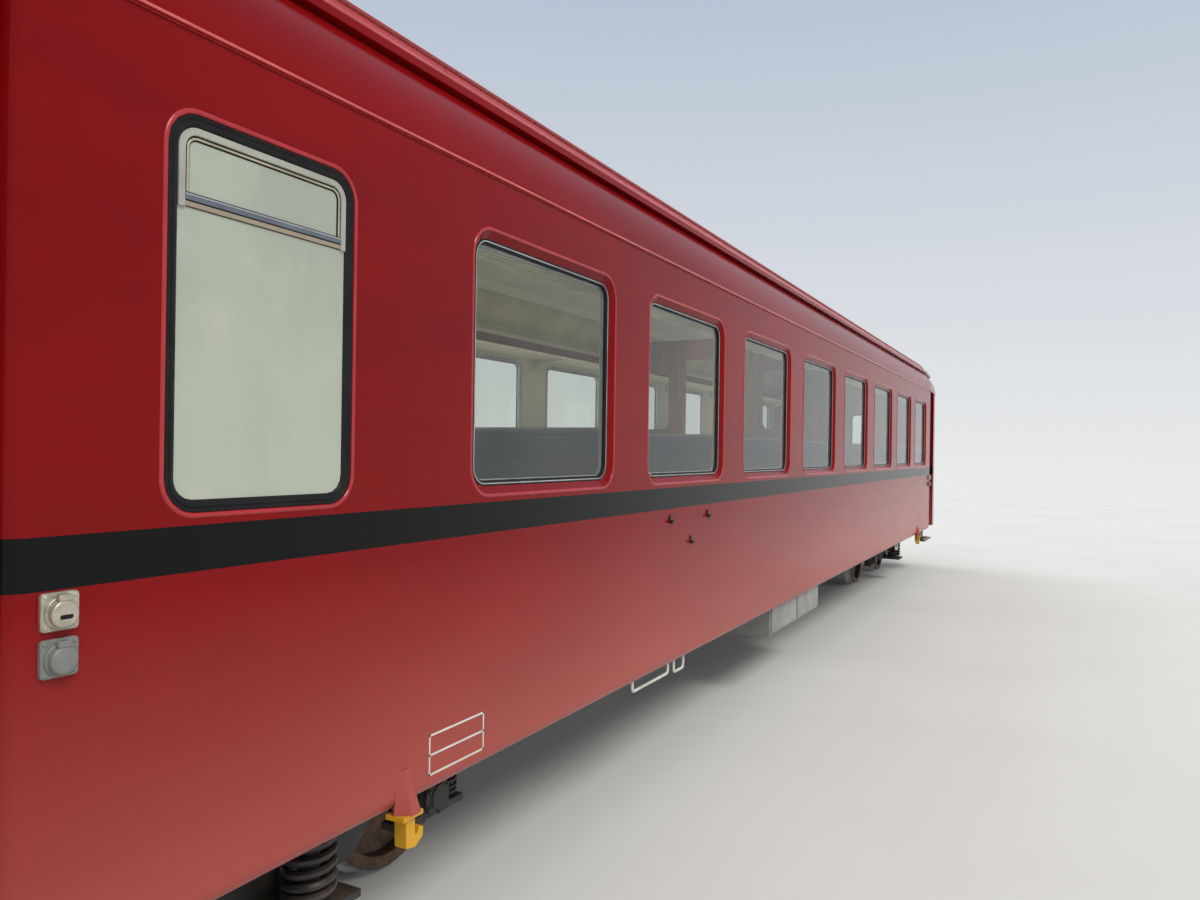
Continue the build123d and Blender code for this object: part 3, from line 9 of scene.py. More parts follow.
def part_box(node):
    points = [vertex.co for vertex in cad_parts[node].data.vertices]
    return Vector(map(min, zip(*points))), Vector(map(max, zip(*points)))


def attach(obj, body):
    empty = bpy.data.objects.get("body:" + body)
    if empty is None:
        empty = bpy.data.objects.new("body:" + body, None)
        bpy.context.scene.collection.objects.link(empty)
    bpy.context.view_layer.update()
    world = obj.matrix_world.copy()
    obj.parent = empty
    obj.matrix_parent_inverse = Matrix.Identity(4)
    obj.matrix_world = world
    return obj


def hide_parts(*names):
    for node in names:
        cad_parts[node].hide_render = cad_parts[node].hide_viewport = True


# Metre-gauge passenger coach. Metres, the same frame as the solids:
# X along the coach, -Y the camera's side, Z up from the floor that the flanges stand on.
# Sections, levels and the sizes of plates are written in millimetres.
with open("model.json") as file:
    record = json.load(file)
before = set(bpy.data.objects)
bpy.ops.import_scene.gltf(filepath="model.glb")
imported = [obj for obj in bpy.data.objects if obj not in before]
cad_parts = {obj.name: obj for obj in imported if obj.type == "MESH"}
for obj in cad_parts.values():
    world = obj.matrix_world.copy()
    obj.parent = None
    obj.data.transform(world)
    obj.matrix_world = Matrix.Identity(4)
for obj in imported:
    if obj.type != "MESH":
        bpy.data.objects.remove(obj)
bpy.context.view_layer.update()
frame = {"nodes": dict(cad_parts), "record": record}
NODES = frame["nodes"]
SCENE = bpy.context.scene
BODIES = frame["record"]["behaviour"]["bodies"]
BODY_OF = {node: body for body, nodes in BODIES.items() for node in nodes}


def linear(r, g, b):
    """An 8-bit screen colour as the linear colour that a shader takes."""
    def one(v):
        v /= 255
        return v / 12.92 if v <= 0.04045 else ((v + 0.055) / 1.055) ** 2.4
    return (one(r), one(g), one(b), 1)


class Graph:
    """A shader tree whose nodes are made and linked in one go."""

    def __init__(self, tree):
        self.tree = tree

    def plug(self, socket, value):
        if isinstance(value, bpy.types.NodeSocket):
            self.tree.links.new(value, socket)
        else:
            socket.default_value = value

    def node(self, kind, inputs=(), **settings):
        made = self.tree.nodes.new("ShaderNode" + kind)
        for key, value in settings.items():
            setattr(made, key, value)
        for key, value in dict(inputs).items():
            self.plug(made.inputs[key], value)
        return made

    def maths(self, operation, a, b=0):
        return self.node("Math", {0: a, 1: b}, operation=operation).outputs[0]

    def times(self, a, b):
        return self.maths("MULTIPLY", a, b)

    def mixed(self, amount, a, b):
        """One of two shaders, by an amount."""
        return self.node("MixShader", {0: amount, 1: a, 2: b}).outputs[0]


class Look(Graph):
    """A Principled material built in layers, patterned in the object's own coordinates."""

    def __init__(self, name, colour, rough=0.5, **constants):
        self.made = bpy.data.materials.new(name)
        self.made.use_nodes = True
        super().__init__(self.made.node_tree)
        self.shader = self.tree.nodes["Principled BSDF"]
        self.output = self.tree.nodes["Material Output"]
        coords = self.node("TexCoord")
        self.place, self.facing = coords.outputs["Object"], coords.outputs["Normal"]
        self.colour, self.rough, self.normal = linear(*colour), rough, None
        for key, value in constants.items():
            self.shader.inputs[key.replace("_", " ")].default_value = value

    def axis(self, letter, of=None):
        return self.node("SeparateXYZ", {"Vector": of or self.place}).outputs[letter]

    def below(self, value, limit):
        return self.maths("LESS_THAN", value, limit)

    def wave(self, value, pitch):
        return self.maths("SINE", self.times(value, pitch))

    def span(self, value, low, high, start=0, end=1):
        """Maps low to high onto start to end, held at both."""
        limits = {"From Min": low, "From Max": high, "To Min": start, "To Max": end}
        return self.node("MapRange", {"Value": value, **limits}).outputs["Result"]

    def between(self, value, low, high, edge=0.0012):
        up = self.span(value, low - edge, low + edge)
        return self.times(up, self.span(value, high - edge, high + edge, 1, 0))

    def stretched(self, stretch):
        return self.node("Mapping", {"Vector": self.place, "Scale": stretch}).outputs[0]

    def noise(self, scale, detail=3, stretch=(1, 1, 1), warp=0):
        settings = {"Scale": scale, "Detail": detail, "Roughness": 0.55, "Distortion": warp}
        return self.node("TexNoise", {"Vector": self.stretched(stretch), **settings}).outputs["Fac"]

    def cells(self, scale):
        vector = self.stretched((1, 1, 1))
        return self.node("TexVoronoi", {"Vector": vector, "Scale": scale}).outputs["Distance"]

    def tint(self, amount, colour):
        if not isinstance(colour, bpy.types.NodeSocket):
            colour = linear(*colour)
        shades = {0: amount, 6: self.colour, 7: colour}
        self.colour = self.node("Mix", shades, data_type="RGBA").outputs[2]

    def dull(self, amount, rough):
        levels = {0: amount, 2: self.rough, 3: rough}
        self.rough = self.node("Mix", levels, data_type="FLOAT").outputs[0]

    def bump(self, height, depth, strength=1):
        made = self.node("Bump", {"Height": height, "Distance": depth, "Strength": strength})
        if self.normal is not None:
            self.plug(made.inputs["Normal"], self.normal)
        self.normal = made.outputs[0]

    def grain(self, scale, detail, depth, strength=0.5):
        """Fine unevenness."""
        self.bump(self.noise(scale, detail), depth, strength)

    def mottle(self, colour, scale, amount, stretch=(1, 1, 1), low=0.42, high=0.68):
        """Soft patches of a second colour."""
        self.tint(self.span(self.noise(scale, 4, stretch), low, high, 0, amount), colour)

    def smears(self, scale, amount, rough):
        """Soft patches of a second roughness."""
        self.dull(self.span(self.noise(scale, 4), 0.4, 0.7, 0, amount), rough)

    def spots(self, field, low, high, amount, colour, *ends):
        """Small spots of a second colour where the field passes a limit."""
        self.tint(self.times(self.span(field, low, high, *ends), amount), colour)

    def done(self):
        self.plug(self.shader.inputs["Base Color"], self.colour)
        self.plug(self.shader.inputs["Roughness"], self.rough)
        if self.normal is not None:
            self.plug(self.shader.inputs["Normal"], self.normal)
        return self.made


def turned_in(letter, limit=-0.5, half_width=None):
    """A mask of the faces that look towards the middle of the coach along one axis."""
    def mask(look):
        here = look.maths("SIGN", look.axis(letter))
        found = look.below(look.times(look.axis(letter, look.facing), here), limit)
        if half_width is None:
            return found
        return look.times(found, look.below(look.maths("ABSOLUTE", look.axis("Y")), half_width))
    return mask


def lining(colour, patches, scale, amount, wood=False):
    """The colour of an inside face: pale panels, with laminate below the sill and a moulding above."""
    def paint(look):
        keep, look.colour = look.colour, linear(*colour)
        look.mottle(patches, scale, amount)
        if wood:
            height = look.axis("Z")
            places = look.maths("ADD", look.below(height, SILL_Z), look.between(height, *MOULDING))
            grain = look.span(look.noise(5, 6, (0.5, 6, 9), 1.2), 0.35, 0.65)
            shades = {0: grain, 6: linear(88, 58, 38), 7: linear(118, 82, 54)}
            look.tint(places, look.node("Mix", shades, data_type="RGBA").outputs[2])
        made, look.colour = look.colour, keep
        return made
    return paint


SILL_Z = 1.8
STRIPE = (1.644, 1.766)
MOULDING = (2.935, 3.02)
wall_lining = lining((196, 190, 170), (176, 168, 146), 1.6, 0.5, True)
cant_lining = lining((172, 164, 134), (146, 138, 108), 2.2, 0.6)
pale_lining = lining((190, 184, 162), (168, 160, 138), 2.2, 0.5)


def red_coat(name, inner=None, inside=None, stripe=True):
    """Glossy carmine coach paint with the black waist stripe, road dust low down and a painted pale
    reflection of the floor on the lower side.
    """
    gloss = {"Coat_Weight": 0.07, "Coat_Roughness": 0.04, "Specular_IOR_Level": 0.09}
    look = Look(name, (122, 8, 11), 0.18, **gloss)
    look.mottle((138, 14, 18), 0.8, 0.55, (0.35, 1, 1))
    look.mottle((98, 8, 12), 2.6, 0.35, (0.3, 1, 1.4))
    look.tint(look.span(look.noise(9, 5, (1, 1, 0.06)), 0.5, 0.8, 0, 0.1), (90, 14, 16))
    height = look.axis("Z")
    if stripe:
        band = look.between(height, *STRIPE)
        look.tint(band, (13, 14, 15))
        look.dull(band, 0.22)
    # Painted reflection: a pale pink wash, strongest at the skirt and gone at 1.6 m, stands for the floor
    # mirrored in the gloss.
    film = look.span(look.noise(1.4, 3, (0.25, 1, 1.2)), 0.3, 0.7, 0.75, 1)
    look.tint(look.times(film, look.span(height, 1.6, 0.76, 0, 0.42)), (204, 116, 108))
    low = look.times(look.span(height, 1.35, 0.72), look.noise(3, 5, (0.4, 1, 1.6)))
    look.tint(look.span(low, 0.1, 0.8, 0, 0.22), (150, 92, 74))
    look.dull(look.span(low, 0.1, 0.8, 0, 0.8), 0.34)
    look.dull(look.span(look.noise(14, 4, (0.12, 1, 1)), 0.45, 0.75, 0, 0.35), 0.3)
    look.grain(1.9, 1, 0.003, 0.25)
    look.grain(420, 1, 0.00006, 0.6)
    if inner:
        mask = inner(look)
        look.tint(mask, inside(look))
        look.dull(mask, 0.45)
    return look.done()


def roof_coat(name):
    """Weathered grey roof with crosswise seams, red flanks and a pale ceiling below."""
    look = Look(name, (150, 152, 150))
    look.mottle((120, 120, 116), 0.7, 0.7, (0.35, 1, 1))
    look.mottle((96, 92, 84), 3, 0.45, (0.3, 2.5, 1))
    seam = look.maths("FRACT", look.times(look.axis("X"), 1 / BAY))
    line = look.between(seam, 0.494, 0.506, 0.002)
    look.tint(look.times(line, 0.5), (92, 90, 86))
    look.bump(line, 0.004, 0.6)
    flank = look.span(look.maths("ABSOLUTE", look.axis("Y")), 1.158, 1.161)
    look.tint(look.times(flank, 0.95), (168, 30, 40))
    look.dull(flank, 0.2)
    look.bump(look.times(look.noise(60, 3), look.maths("SUBTRACT", 1, flank)), 0.0006, 0.5)
    look.tint(look.below(look.axis("Z", look.facing), -0.3), pale_lining(look))
    return look.done()


def black_frame(name, colour, dust):
    """Dark running gear with brake dust lying on it."""
    look = Look(name, colour, 0.55)
    look.mottle((62, 58, 54), 6, 0.6)
    top = look.span(look.axis("Z", look.facing), 0.2, 0.95)
    grime = look.times(look.noise(11, 5), look.span(top, 0, 1, 0.55, 1))
    look.tint(look.span(grime, 0.28, 0.75, 0, 0.75), dust)
    look.dull(look.span(grime, 0.3, 0.7), 0.85)
    look.spots(look.noise(45, 4), 0.66, 0.72, 0.7, (104, 58, 34))
    look.grain(90, 4, 0.0008, 0.6)
    return look.done()


def wheel_steel(name, centre_x):
    """Rust-brown wheel centres with a bright tread and flange, worn where they roll."""
    look = Look(name, (86, 66, 52), 0.6, Metallic=0.35)
    look.mottle((58, 46, 38), 9, 0.8)
    look.mottle((128, 96, 70), 26, 0.5)
    dx = look.maths("SUBTRACT", look.axis("X"), centre_x)
    dz = look.maths("SUBTRACT", look.axis("Z"), AXLE_Z)
    far = look.maths("SQRT", look.maths("ADD", look.times(dx, dx), look.times(dz, dz)))
    tread = look.span(far, 0.371, 0.374)
    look.tint(look.times(tread, 0.9), (176, 178, 180))
    look.dull(tread, 0.22)
    look.bump(look.wave(far, 900), 0.0002, 0.5)
    look.grain(70, 4, 0.0009, 0.6)
    return look.done()


def spring_coat(name):
    """Dark sprung steel, dusty and a little rusty."""
    look = Look(name, (46, 46, 48), 0.45, Metallic=0.3)
    look.mottle((96, 66, 46), 18, 0.6)
    look.mottle((84, 80, 74), 7, 0.5)
    look.grain(140, 3, 0.0005, 0.6)
    return look.done()


def bright_metal(name, colour, rough, worn):
    """Drawn aluminium or steel with fine lines and a dull film."""
    look = Look(name, colour, rough, Metallic=0.9)
    look.mottle(worn, 8, 0.6)
    lines = look.noise(60, 3, (0.15, 8, 8))
    look.dull(look.span(lines, 0.3, 0.7, 0, 0.6), rough + 0.2)
    look.bump(lines, 0.00025, 0.5)
    look.grain(300, 2, 0.00008)
    return look.done()


def rubber(name):
    look = Look(name, (17, 17, 18), 0.45, Specular_IOR_Level=0.22)
    look.mottle((28, 28, 29), 7, 0.55)
    look.mottle((22, 22, 23), 60, 0.5)
    look.smears(20, 0.8, 0.75)
    look.grain(260, 3, 0.0003, 0.6)
    return look.done()


def bellows_rubber(name):
    """Rubbered cloth with a fine weave."""
    look = Look(name, (24, 24, 25), 0.6, Sheen_Weight=0.15)
    look.mottle((58, 56, 52), 5, 0.7, (1, 1, 0.4))
    look.bump(look.times(look.wave(look.axis("Y"), 1800), look.wave(look.axis("Z"), 1800)), 0.0003, 0.4)
    look.grain(80, 4, 0.001)
    return look.done()


def clear_glass(name):
    """Window glass: see-through, mirrored by Fresnel outside, with a thin film of dust and specks."""
    look = Look(name, (150, 146, 134))
    through = look.node("BsdfTransparent", {"Color": linear(244, 247, 244)})
    mirror = look.node("BsdfGlossy", {"Color": (0.92, 0.95, 0.96, 1), "Roughness": 0.015})
    fresnel = look.node("Fresnel", {"IOR": 1.5}).outputs[0]
    outside = look.maths("SUBTRACT", 1, look.node("NewGeometry").outputs["Backfacing"])
    shine = look.times(look.maths("MINIMUM", look.times(fresnel, 1.1), 1), outside)
    look.mottle((190, 186, 170), 3, 0.5)
    film = look.span(look.noise(5, 6, (0.8, 1, 0.25)), 0.35, 0.8, 0.006, 0.04)
    dust = look.maths("ADD", film, look.span(look.noise(160, 2), 0.7, 0.76, 0, 0.08))
    clean = look.mixed(shine, through.outputs[0], mirror.outputs[0])
    dusty = look.mixed(look.maths("MINIMUM", dust, 0.2), clean, look.shader.outputs[0])
    look.plug(look.output.inputs["Surface"], dusty)
    return look.done()


def frosted_glass(name):
    """Milk-white glass of the toilet windows, with painted shade greying it towards the top, and faint
    smears.
    """
    look = Look(name, (166, 172, 154), 0.16, Coat_Weight=0.4, Coat_Roughness=0.04)
    # Painted shade: the pane greys from 1.85 m up and is greyest from 2.6 m up.
    look.tint(look.span(look.axis("Z"), 1.85, 2.6, 0, 0.55), (146, 152, 142))
    look.mottle((184, 188, 172), 2.2, 0.4, (1, 1, 0.5))
    look.mottle((200, 202, 188), 9, 0.2, (1, 1, 0.7), 0.55, 0.8)
    look.spots(look.noise(90, 2), 0.7, 0.76, 0.2, (216, 216, 204))
    look.smears(7, 0.7, 0.32)
    look.grain(500, 1, 0.00005)
    return look.done()


def floor_cover(name):
    """Ribbed, speckled floor covering, with a bare dusty underside."""
    look = Look(name, (74, 72, 70), 0.55)
    look.spots(look.cells(220), 0.18, 0.26, 0.6, (150, 146, 138), 1, 0)
    look.mottle((48, 46, 44), 1.2, 0.6, (0.5, 1, 1))
    look.bump(look.wave(look.axis("Y"), 420), 0.0008, 0.6)
    under = look.below(look.axis("Z", look.facing), -0.3)
    look.tint(under, (46, 44, 42))
    look.dull(under, 0.85)
    return look.done()


def laminate(name):
    look = Look(name, (92, 60, 38), 0.32)
    look.mottle((128, 88, 58), 6, 0.85, (1, 6, 0.5), 0.35, 0.65)
    fine = look.noise(60, 5, (1, 4, 0.2))
    look.tint(look.span(fine, 0.4, 0.75, 0, 0.35), (60, 38, 24))
    look.smears(4, 0.6, 0.52)
    look.bump(fine, 0.0002, 0.4)
    return look.done()


def painted(name, colour, worn, rough=0.35, grain=180, edge=None):
    """Sprayed paint with a fine orange peel, stains and a few chips."""
    look = Look(name, colour, rough)
    look.mottle(worn, 3.5, 0.6)
    look.mottle(worn, 22, 0.3)
    look.spots(look.noise(55, 4), 0.69, 0.73, 0.6, edge or worn)
    look.smears(9, 0.7, rough + 0.25)
    look.grain(grain, 2, 0.0003)
    return look.done()


def seat_cloth(name):
    """Woven moquette, deep blue-grey with a small speckle and soft paler patches."""
    look = Look(name, (44, 56, 78), 0.85, Sheen_Weight=0.35, Sheen_Roughness=0.5)
    thread = 2 * pi / 0.0034
    across = look.wave(look.axis("Y"), thread)
    weave = look.times(across, look.wave(look.maths("ADD", look.axis("X"), look.axis("Z")), thread))
    look.tint(look.span(weave, -0.2, 1, 0, 0.45), (84, 98, 120))
    look.spots(look.cells(95), 0.1, 0.16, 0.7, (150, 60, 52), 1, 0)
    look.mottle((64, 74, 92), 3, 0.5)
    look.bump(weave, 0.0007, 0.7)
    look.grain(300, 2, 0.0006)
    return look.done()


def lamp_red(name):
    look = Look(name, (150, 12, 12), 0.12, Coat_Weight=0.6, Coat_Roughness=0.03)
    look.bump(look.wave(look.axis("Z"), 900), 0.0006, 0.6)
    look.mottle((96, 8, 10), 30, 0.5)
    return look.done()


def cast_metal(name):
    look = Look(name, (196, 190, 172), 0.38, Metallic=0.55)
    look.mottle((150, 144, 128), 14, 0.6)
    look.mottle((104, 98, 88), 40, 0.35)
    look.grain(160, 4, 0.0007, 0.6)
    return look.done()


BAY = 1.64
AXLE_Z = 0.403
# Finishes by their maker, with its details
COATS = {
    red_coat: {
        "coach_red_side": (turned_in("Y"), wall_lining),
        "coach_red_end": (turned_in("X", half_width=1.1045), pale_lining),
        "coach_red_cant": (turned_in("Y", -0.3), cant_lining, False),
        "coach_red_leaf": (turned_in("Y"), pale_lining),
        "coach_red_passage": (turned_in("X"), pale_lining, False),
        "coach_red_bracket": (None, None, False),
    },
    painted: {
        # Painted highlight: the window lips are a paler red than the body, for the light they catch.
        "coach_red_lip": ((172, 38, 44), (150, 26, 32), 0.16, 260, (196, 92, 92)),
        # Painted highlight: the cornice bead and gutter roll are a pale pink, for the light they catch.
        "coach_red_bead": ((204, 96, 96), (176, 58, 62), 0.18, 260, (214, 150, 146)),
        # Painted shade: the red board holders are coloured near black for the shade they sit in.
        "holder": ((52, 10, 13), (30, 9, 11), 0.3, 220, (120, 90, 86)),
        "tank": ((58, 60, 62), (92, 86, 76), 0.45, 120, (120, 70, 44)),
        "box_grey": ((150, 152, 150), (112, 110, 104), 0.42, 160, (80, 76, 70)),
        "hook_yellow": ((214, 160, 22), (168, 118, 18), 0.38, 150, (96, 64, 34)),
        "hopper_grey": ((168, 168, 156), (140, 140, 130), 0.3, 260, (104, 104, 98)),
        "hopper_seal": ((160, 148, 128), (128, 116, 98), 0.5, 240, (90, 76, 60)),
        "toilet_wall": ((196, 190, 168), (172, 164, 142)),
        "rack_cream": ((216, 208, 182), (186, 176, 148), 0.4, 220, (140, 132, 112)),
        "seat_frame": ((176, 170, 152), (146, 140, 124), 0.42, 260, (112, 108, 98)),
        "seat_piping": ((60, 64, 74), (44, 48, 58), 0.55, 320, (88, 92, 100)),
        "step": ((34, 35, 36), (84, 78, 68), 0.55, 90, (150, 150, 150)),
        "step_edge": ((214, 206, 178), (150, 140, 116), 0.55, 90, (96, 90, 80)),
        "socket_grey": ((122, 124, 120), (92, 92, 88), 0.42, 160, (70, 68, 64)),
        "handle_white": ((214, 214, 206), (176, 172, 160), 0.32, 300, (120, 118, 112)),
    },
    bright_metal: {
        "buffer_steel": ((128, 128, 130), 0.34, (74, 68, 62)),
        "bright_aluminium": ((206, 206, 204), 0.3, (150, 150, 150)),
        "hopper_line": ((214, 204, 176), 0.24, (150, 138, 108)),
        "hopper_bar": ((126, 132, 142), 0.3, (92, 98, 108)),
    },
    black_frame: {
        "underframe": ((38, 38, 39), (108, 92, 74)),
        "bogie": ((44, 43, 42), (118, 98, 76)),
    },
    roof_coat: {"roof_grey": ()},
    spring_coat: {"spring": ()},
    bellows_rubber: {"bellows_rubber": ()},
    rubber: {"window_rubber": ()},
    clear_glass: {"window_glass": ()},
    frosted_glass: {"frosted_glass": ()},
    floor_cover: {"floor_cover": ()},
    laminate: {"laminate_brown": ()},
    cast_metal: {"socket_metal": ()},
    lamp_red: {"lamp_red": ()},
    seat_cloth: {"seat_moquette": ()},
}
# Nodes that wear each finish, by the start of their names
WEARS = {
    "coach_red_side": "side_wall", "coach_red_end": "end_wall", "coach_red_cant": "cant_panel",
    "coach_red_leaf": "door_leaf", "coach_red_passage": "gangway_door", "roof_grey": "roof",
    "coach_red_bracket": "jacking_brackets", "holder": "board_holders", "floor_cover": "floor",
    "bellows_rubber": "gangway_bellows", "window_rubber": "window_rubbers",
    "window_glass": "window_panes", "frosted_glass": "frosted_panes", "laminate_brown": "partitions",
    "toilet_wall": "toilet_walls", "rack_cream": "luggage_racks", "seat_frame": "seat_frames",
    "seat_moquette": "seat_cushions seat_backs", "spring": "primary_springs bogie_springs",
    "tank": "air_tanks brake_cylinder", "bogie": "bogie_frame bogie_bolster axle_boxes brake_gear",
    "box_grey": "equipment_box", "hook_yellow": "lifting_hooks", "buffer_steel": "centre_buffers",
    "bright_aluminium": "hopper_frames handrails", "step": "entrance_steps",
    "socket_metal": "wall_sockets", "lamp_red": "tail_lamps",
    "underframe": "sole_bars cross_members body_bolsters end_frames",
}
made_coats = {}


def coat(name):
    """The material of a finish, made when it is first asked for."""
    if name not in made_coats:
        maker, details = next((maker, table[name]) for maker, table in COATS.items() if name in table)
        made_coats[name] = maker(name if maker in (red_coat, seat_cloth) else name + "_coat", *details)
    return made_coats[name]


for node_name, node in NODES.items():
    if node_name.startswith("wheelset"):
        low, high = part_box(node_name)
        made_coats[node_name] = wheel_steel(node_name + "_steel", (low.x + high.x) / 2)
        finish = node_name
    else:
        finish = next(key for key, starts in WEARS.items()
                      if node_name.startswith(tuple(starts.split())))
    if not node.material_slots:
        node.data.materials.append(coat(finish))
    for slot in node.material_slots:
        slot.material = coat(finish)

SHARP = radians(38)
SIDE_FACE = 1.34
END_FACE = 8.67
ENDS = (("near", -1), ("far", 1))
SIDES = (("left", -1), ("right", 1))
CORNERS = [(end, side) for end in (-1, 1) for side in (-1, 1)]


def add(name, data):
    obj = bpy.data.objects.new(name, data)
    SCENE.collection.objects.link(obj)
    return obj


def new_piece(name, mesh, finish, *replaced, slot=None, body="coach_body"):
    """An object for a finished bmesh, riding on a body and standing for the named nodes.

    Its slot holds the material of its finish; the slot argument is not used.
    """
    bmesh.ops.recalc_face_normals(mesh, faces=mesh.faces)
    data = bpy.data.meshes.new(name)
    mesh.to_mesh(data)
    mesh.free()
    data.materials.append(coat(finish))
    for face in data.polygons:
        face.use_smooth = True
    data.set_sharp_from_angle(angle=SHARP)
    obj = add(name, data)
    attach(obj, body)
    if replaced:
        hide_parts(*replaced)
    return obj


def rounded(width, height, radius, steps):
    """Corner points of a rounded rectangle round the origin, anticlockwise."""
    points = []
    for sx, sy, start in ((1, 1, 0), (-1, 1, 90), (-1, -1, 180), (1, -1, 270)):
        cx, cy = sx * (width / 2 - radius), sy * (height / 2 - radius)
        for k in range(steps + 1):
            a = radians(start + 90 * k / steps)
            points.append((cx + radius * cos(a), cy + radius * sin(a)))
    return points


def bridge(mesh, rows, closed=False):
    """Quads between neighbouring rows, which all have as many points."""
    count = len(rows[0])
    for a in range(len(rows) if closed else len(rows) - 1):
        one, two = rows[a], rows[(a + 1) % len(rows)]
        for k in range(count):
            j = (k + 1) % count
            mesh.faces.new((one[k], one[j], two[j], two[k]))
    if not closed:
        mesh.faces.new(rows[0])
        mesh.faces.new(list(reversed(rows[-1])))


def laid(mesh, place, spots):
    """Points at places given in mm."""
    return [mesh.verts.new(place(u / 1000, v / 1000, out / 1000)) for u, v, out in spots]


def raised(mesh, width, height, radius, levels, place, steps=5, hollow=False):
    """A plate built up in levels of (inset, out), or a ring with that closed section. All in mm."""
    rows = []
    for inset, out in levels:
        outline = rounded(width - 2 * inset, height - 2 * inset, max(radius - inset, 0.8), steps)
        rows.append(laid(mesh, place, [(u, v, out) for u, v in outline]))
    bridge(mesh, rows, hollow)


def disc(mesh, radius, levels, place, steps):
    """A round plate built up in levels of (inset, out), in mm."""
    raised(mesh, 2 * radius, 2 * radius, radius - 0.4, levels, place, steps)


def on_side(side, x, z):
    """Places (along, up, out) on a side wall."""
    return lambda u, v, out: Vector((x + u, side * (SIDE_FACE + out), z + v))


def on_end(end, z, face=END_FACE):
    """Places (across, up, out) on an end wall."""
    return lambda u, v, out: Vector((end * (face + out), u, z + v))


def brick(mesh, low, high, edge=3):
    """A block between two corners with edges softened by some mm."""
    low, high = Vector(low), Vector(high)
    wide, deep, tall = (1000 * size for size in high - low)
    middle = (low + high) / 2
    levels = [(edge, 0), (0, edge), (0, tall - edge), (edge, tall)]
    raised(mesh, wide, deep, edge * 1.5, levels,
           lambda u, v, out: Vector((middle.x + u, middle.y + v, low.z + out)), 2)


def circle(mesh, centre, side, up, radius, sides):
    """Points of a circle round a centre, in the plane of two directions."""
    turns = (2 * pi * k / sides for k in range(sides))
    return [mesh.verts.new(centre + (side * cos(a) + up * sin(a)) * radius) for a in turns]


def turned(mesh, centre, axis, profile, sides=32, hollow=False):
    """A turned form: profile is (along the axis, radius) in mm from one end to the other."""
    ahead = Vector(axis).normalized()
    side = ahead.orthogonal().normalized()
    up = ahead.cross(side)
    bridge(mesh, [circle(mesh, Vector(centre) + ahead * (along / 1000), side, up, radius / 1000, sides)
                  for along, radius in profile], hollow)


def tube(mesh, points, radius, sides=10, closed=False):
    """A round bar along a path."""
    points = [Vector(p) for p in points]
    count = len(points)
    rows, side = [], None
    for k in range(count):
        before = points[k - 1] if closed or k else points[0]
        after = points[(k + 1) % count] if closed or k < count - 1 else points[-1]
        ahead = (after - before).normalized()
        side = side or ahead.orthogonal()
        side = (side - ahead * side.dot(ahead)).normalized()
        rows.append(circle(mesh, points[k], side, ahead.cross(side), radius, sides))
    bridge(mesh, rows, closed)


def bent(points, radius, steps=5):
    """A path with rounded corners."""
    points = [Vector(p) for p in points]
    path = [points[0]]
    for before, corner, after in zip(points, points[1:], points[2:]):
        start = corner + (before - corner).normalized() * radius
        end = corner + (after - corner).normalized() * radius
        for k in range(steps + 1):
            t = k / steps
            path.append(start * (1 - t) ** 2 + corner * (2 * t * (1 - t)) + end * t * t)
    path.append(points[-1])
    return path


def ribbon(mesh, path, half, low, high, edge, place):
    """A flat bar of bevelled section along a path of (u, v) points. All in mm."""
    section = [(-half, low), (half, low), (half, high - edge), (half - edge, high), (edge - half, high),
               (-half, high - edge)]
    rows = []
    for k, here in enumerate(path):
        before, after = Vector(path[max(k - 1, 0)]), Vector(path[min(k + 1, len(path) - 1)])
        ahead = (after - before).normalized()
        rows.append(laid(mesh, place, [(here[0] - ahead.y * offset, here[1] + ahead.x * offset, out)
                                       for offset, out in section]))
    bridge(mesh, rows)


def islands(name):
    """Boxes of the separate solids in a CAD node."""
    mesh = bmesh.new()
    mesh.from_mesh(NODES[name].data)
    bmesh.ops.remove_doubles(mesh, verts=mesh.verts, dist=1e-5)
    seen, found = set(), []
    for vert in mesh.verts:
        if vert in seen:
            continue
        group, stack = [], [vert]
        seen.add(vert)
        while stack:
            one = stack.pop()
            group.append(one.co.copy())
            for edge in one.link_edges:
                other = edge.other_vert(one)
                if other not in seen:
                    seen.add(other)
                    stack.append(other)
        found.append([Vector(pick(c[k] for c in group) for k in range(3)) for pick in (min, max)])
    mesh.free()
    found.sort(key=lambda pair: tuple(round(c, 3) for c in pair[0]))
    return found


# Middles and lights (width, height, corner radius in mm) of the doors
LEAF_X = (7.681, 8.095)
LEAF_Y, LEAF_LIGHT_Z, LEAF_LIGHT = 1.1225, 2.258, (230, 980, 60)
PASSAGE_X, PASSAGE_LIGHT_Z, PASSAGE_LIGHT = 8.6375, 2.318, (420, 780, 70)
DOOR_GASKET = [
    (0.25, -17.5), (-10, -17.5), (-9, -21), (10, -21), (16, -14.5), (16, 14.5), (10, 21), (-9, 21),
    (-10, 17.5), (0.25, 17.5),
]


def door_light(name, body, centre, size, crosswise):
    """Glass with a rubber gasket in a door, which stands across the coach or along it."""
    def place(u, v, depth):
        x, y = (depth, u) if crosswise else (u, depth)
        return Vector((centre[0] + x, centre[1] + y, centre[2] + v))
    glass, gasket = bmesh.new(), bmesh.new()
    width, height, radius = size
    raised(glass, width - 4, height - 4, radius - 2, [(0, -3), (0, 3)], place)
    new_piece(name + "_glass", glass, "window_glass", body=body)
    raised(gasket, *size, DOOR_GASKET, place, 6, True)
    new_piece(name + "_gasket", gasket, "window_rubber", body=body)


def door_lights():
    for end, sign_x in ENDS:
        for side, sign_y in SIDES:
            for number, x in enumerate(LEAF_X, 1):
                leaf = f"leaf{number}_{end}_{side}"
                door_light(leaf, leaf, (sign_x * x, sign_y * LEAF_Y, LEAF_LIGHT_Z), LEAF_LIGHT, False)
        door_light(f"passage_{end}", f"passage_door_{end}", (sign_x * PASSAGE_X, 0, PASSAGE_LIGHT_Z),
                   PASSAGE_LIGHT, True)


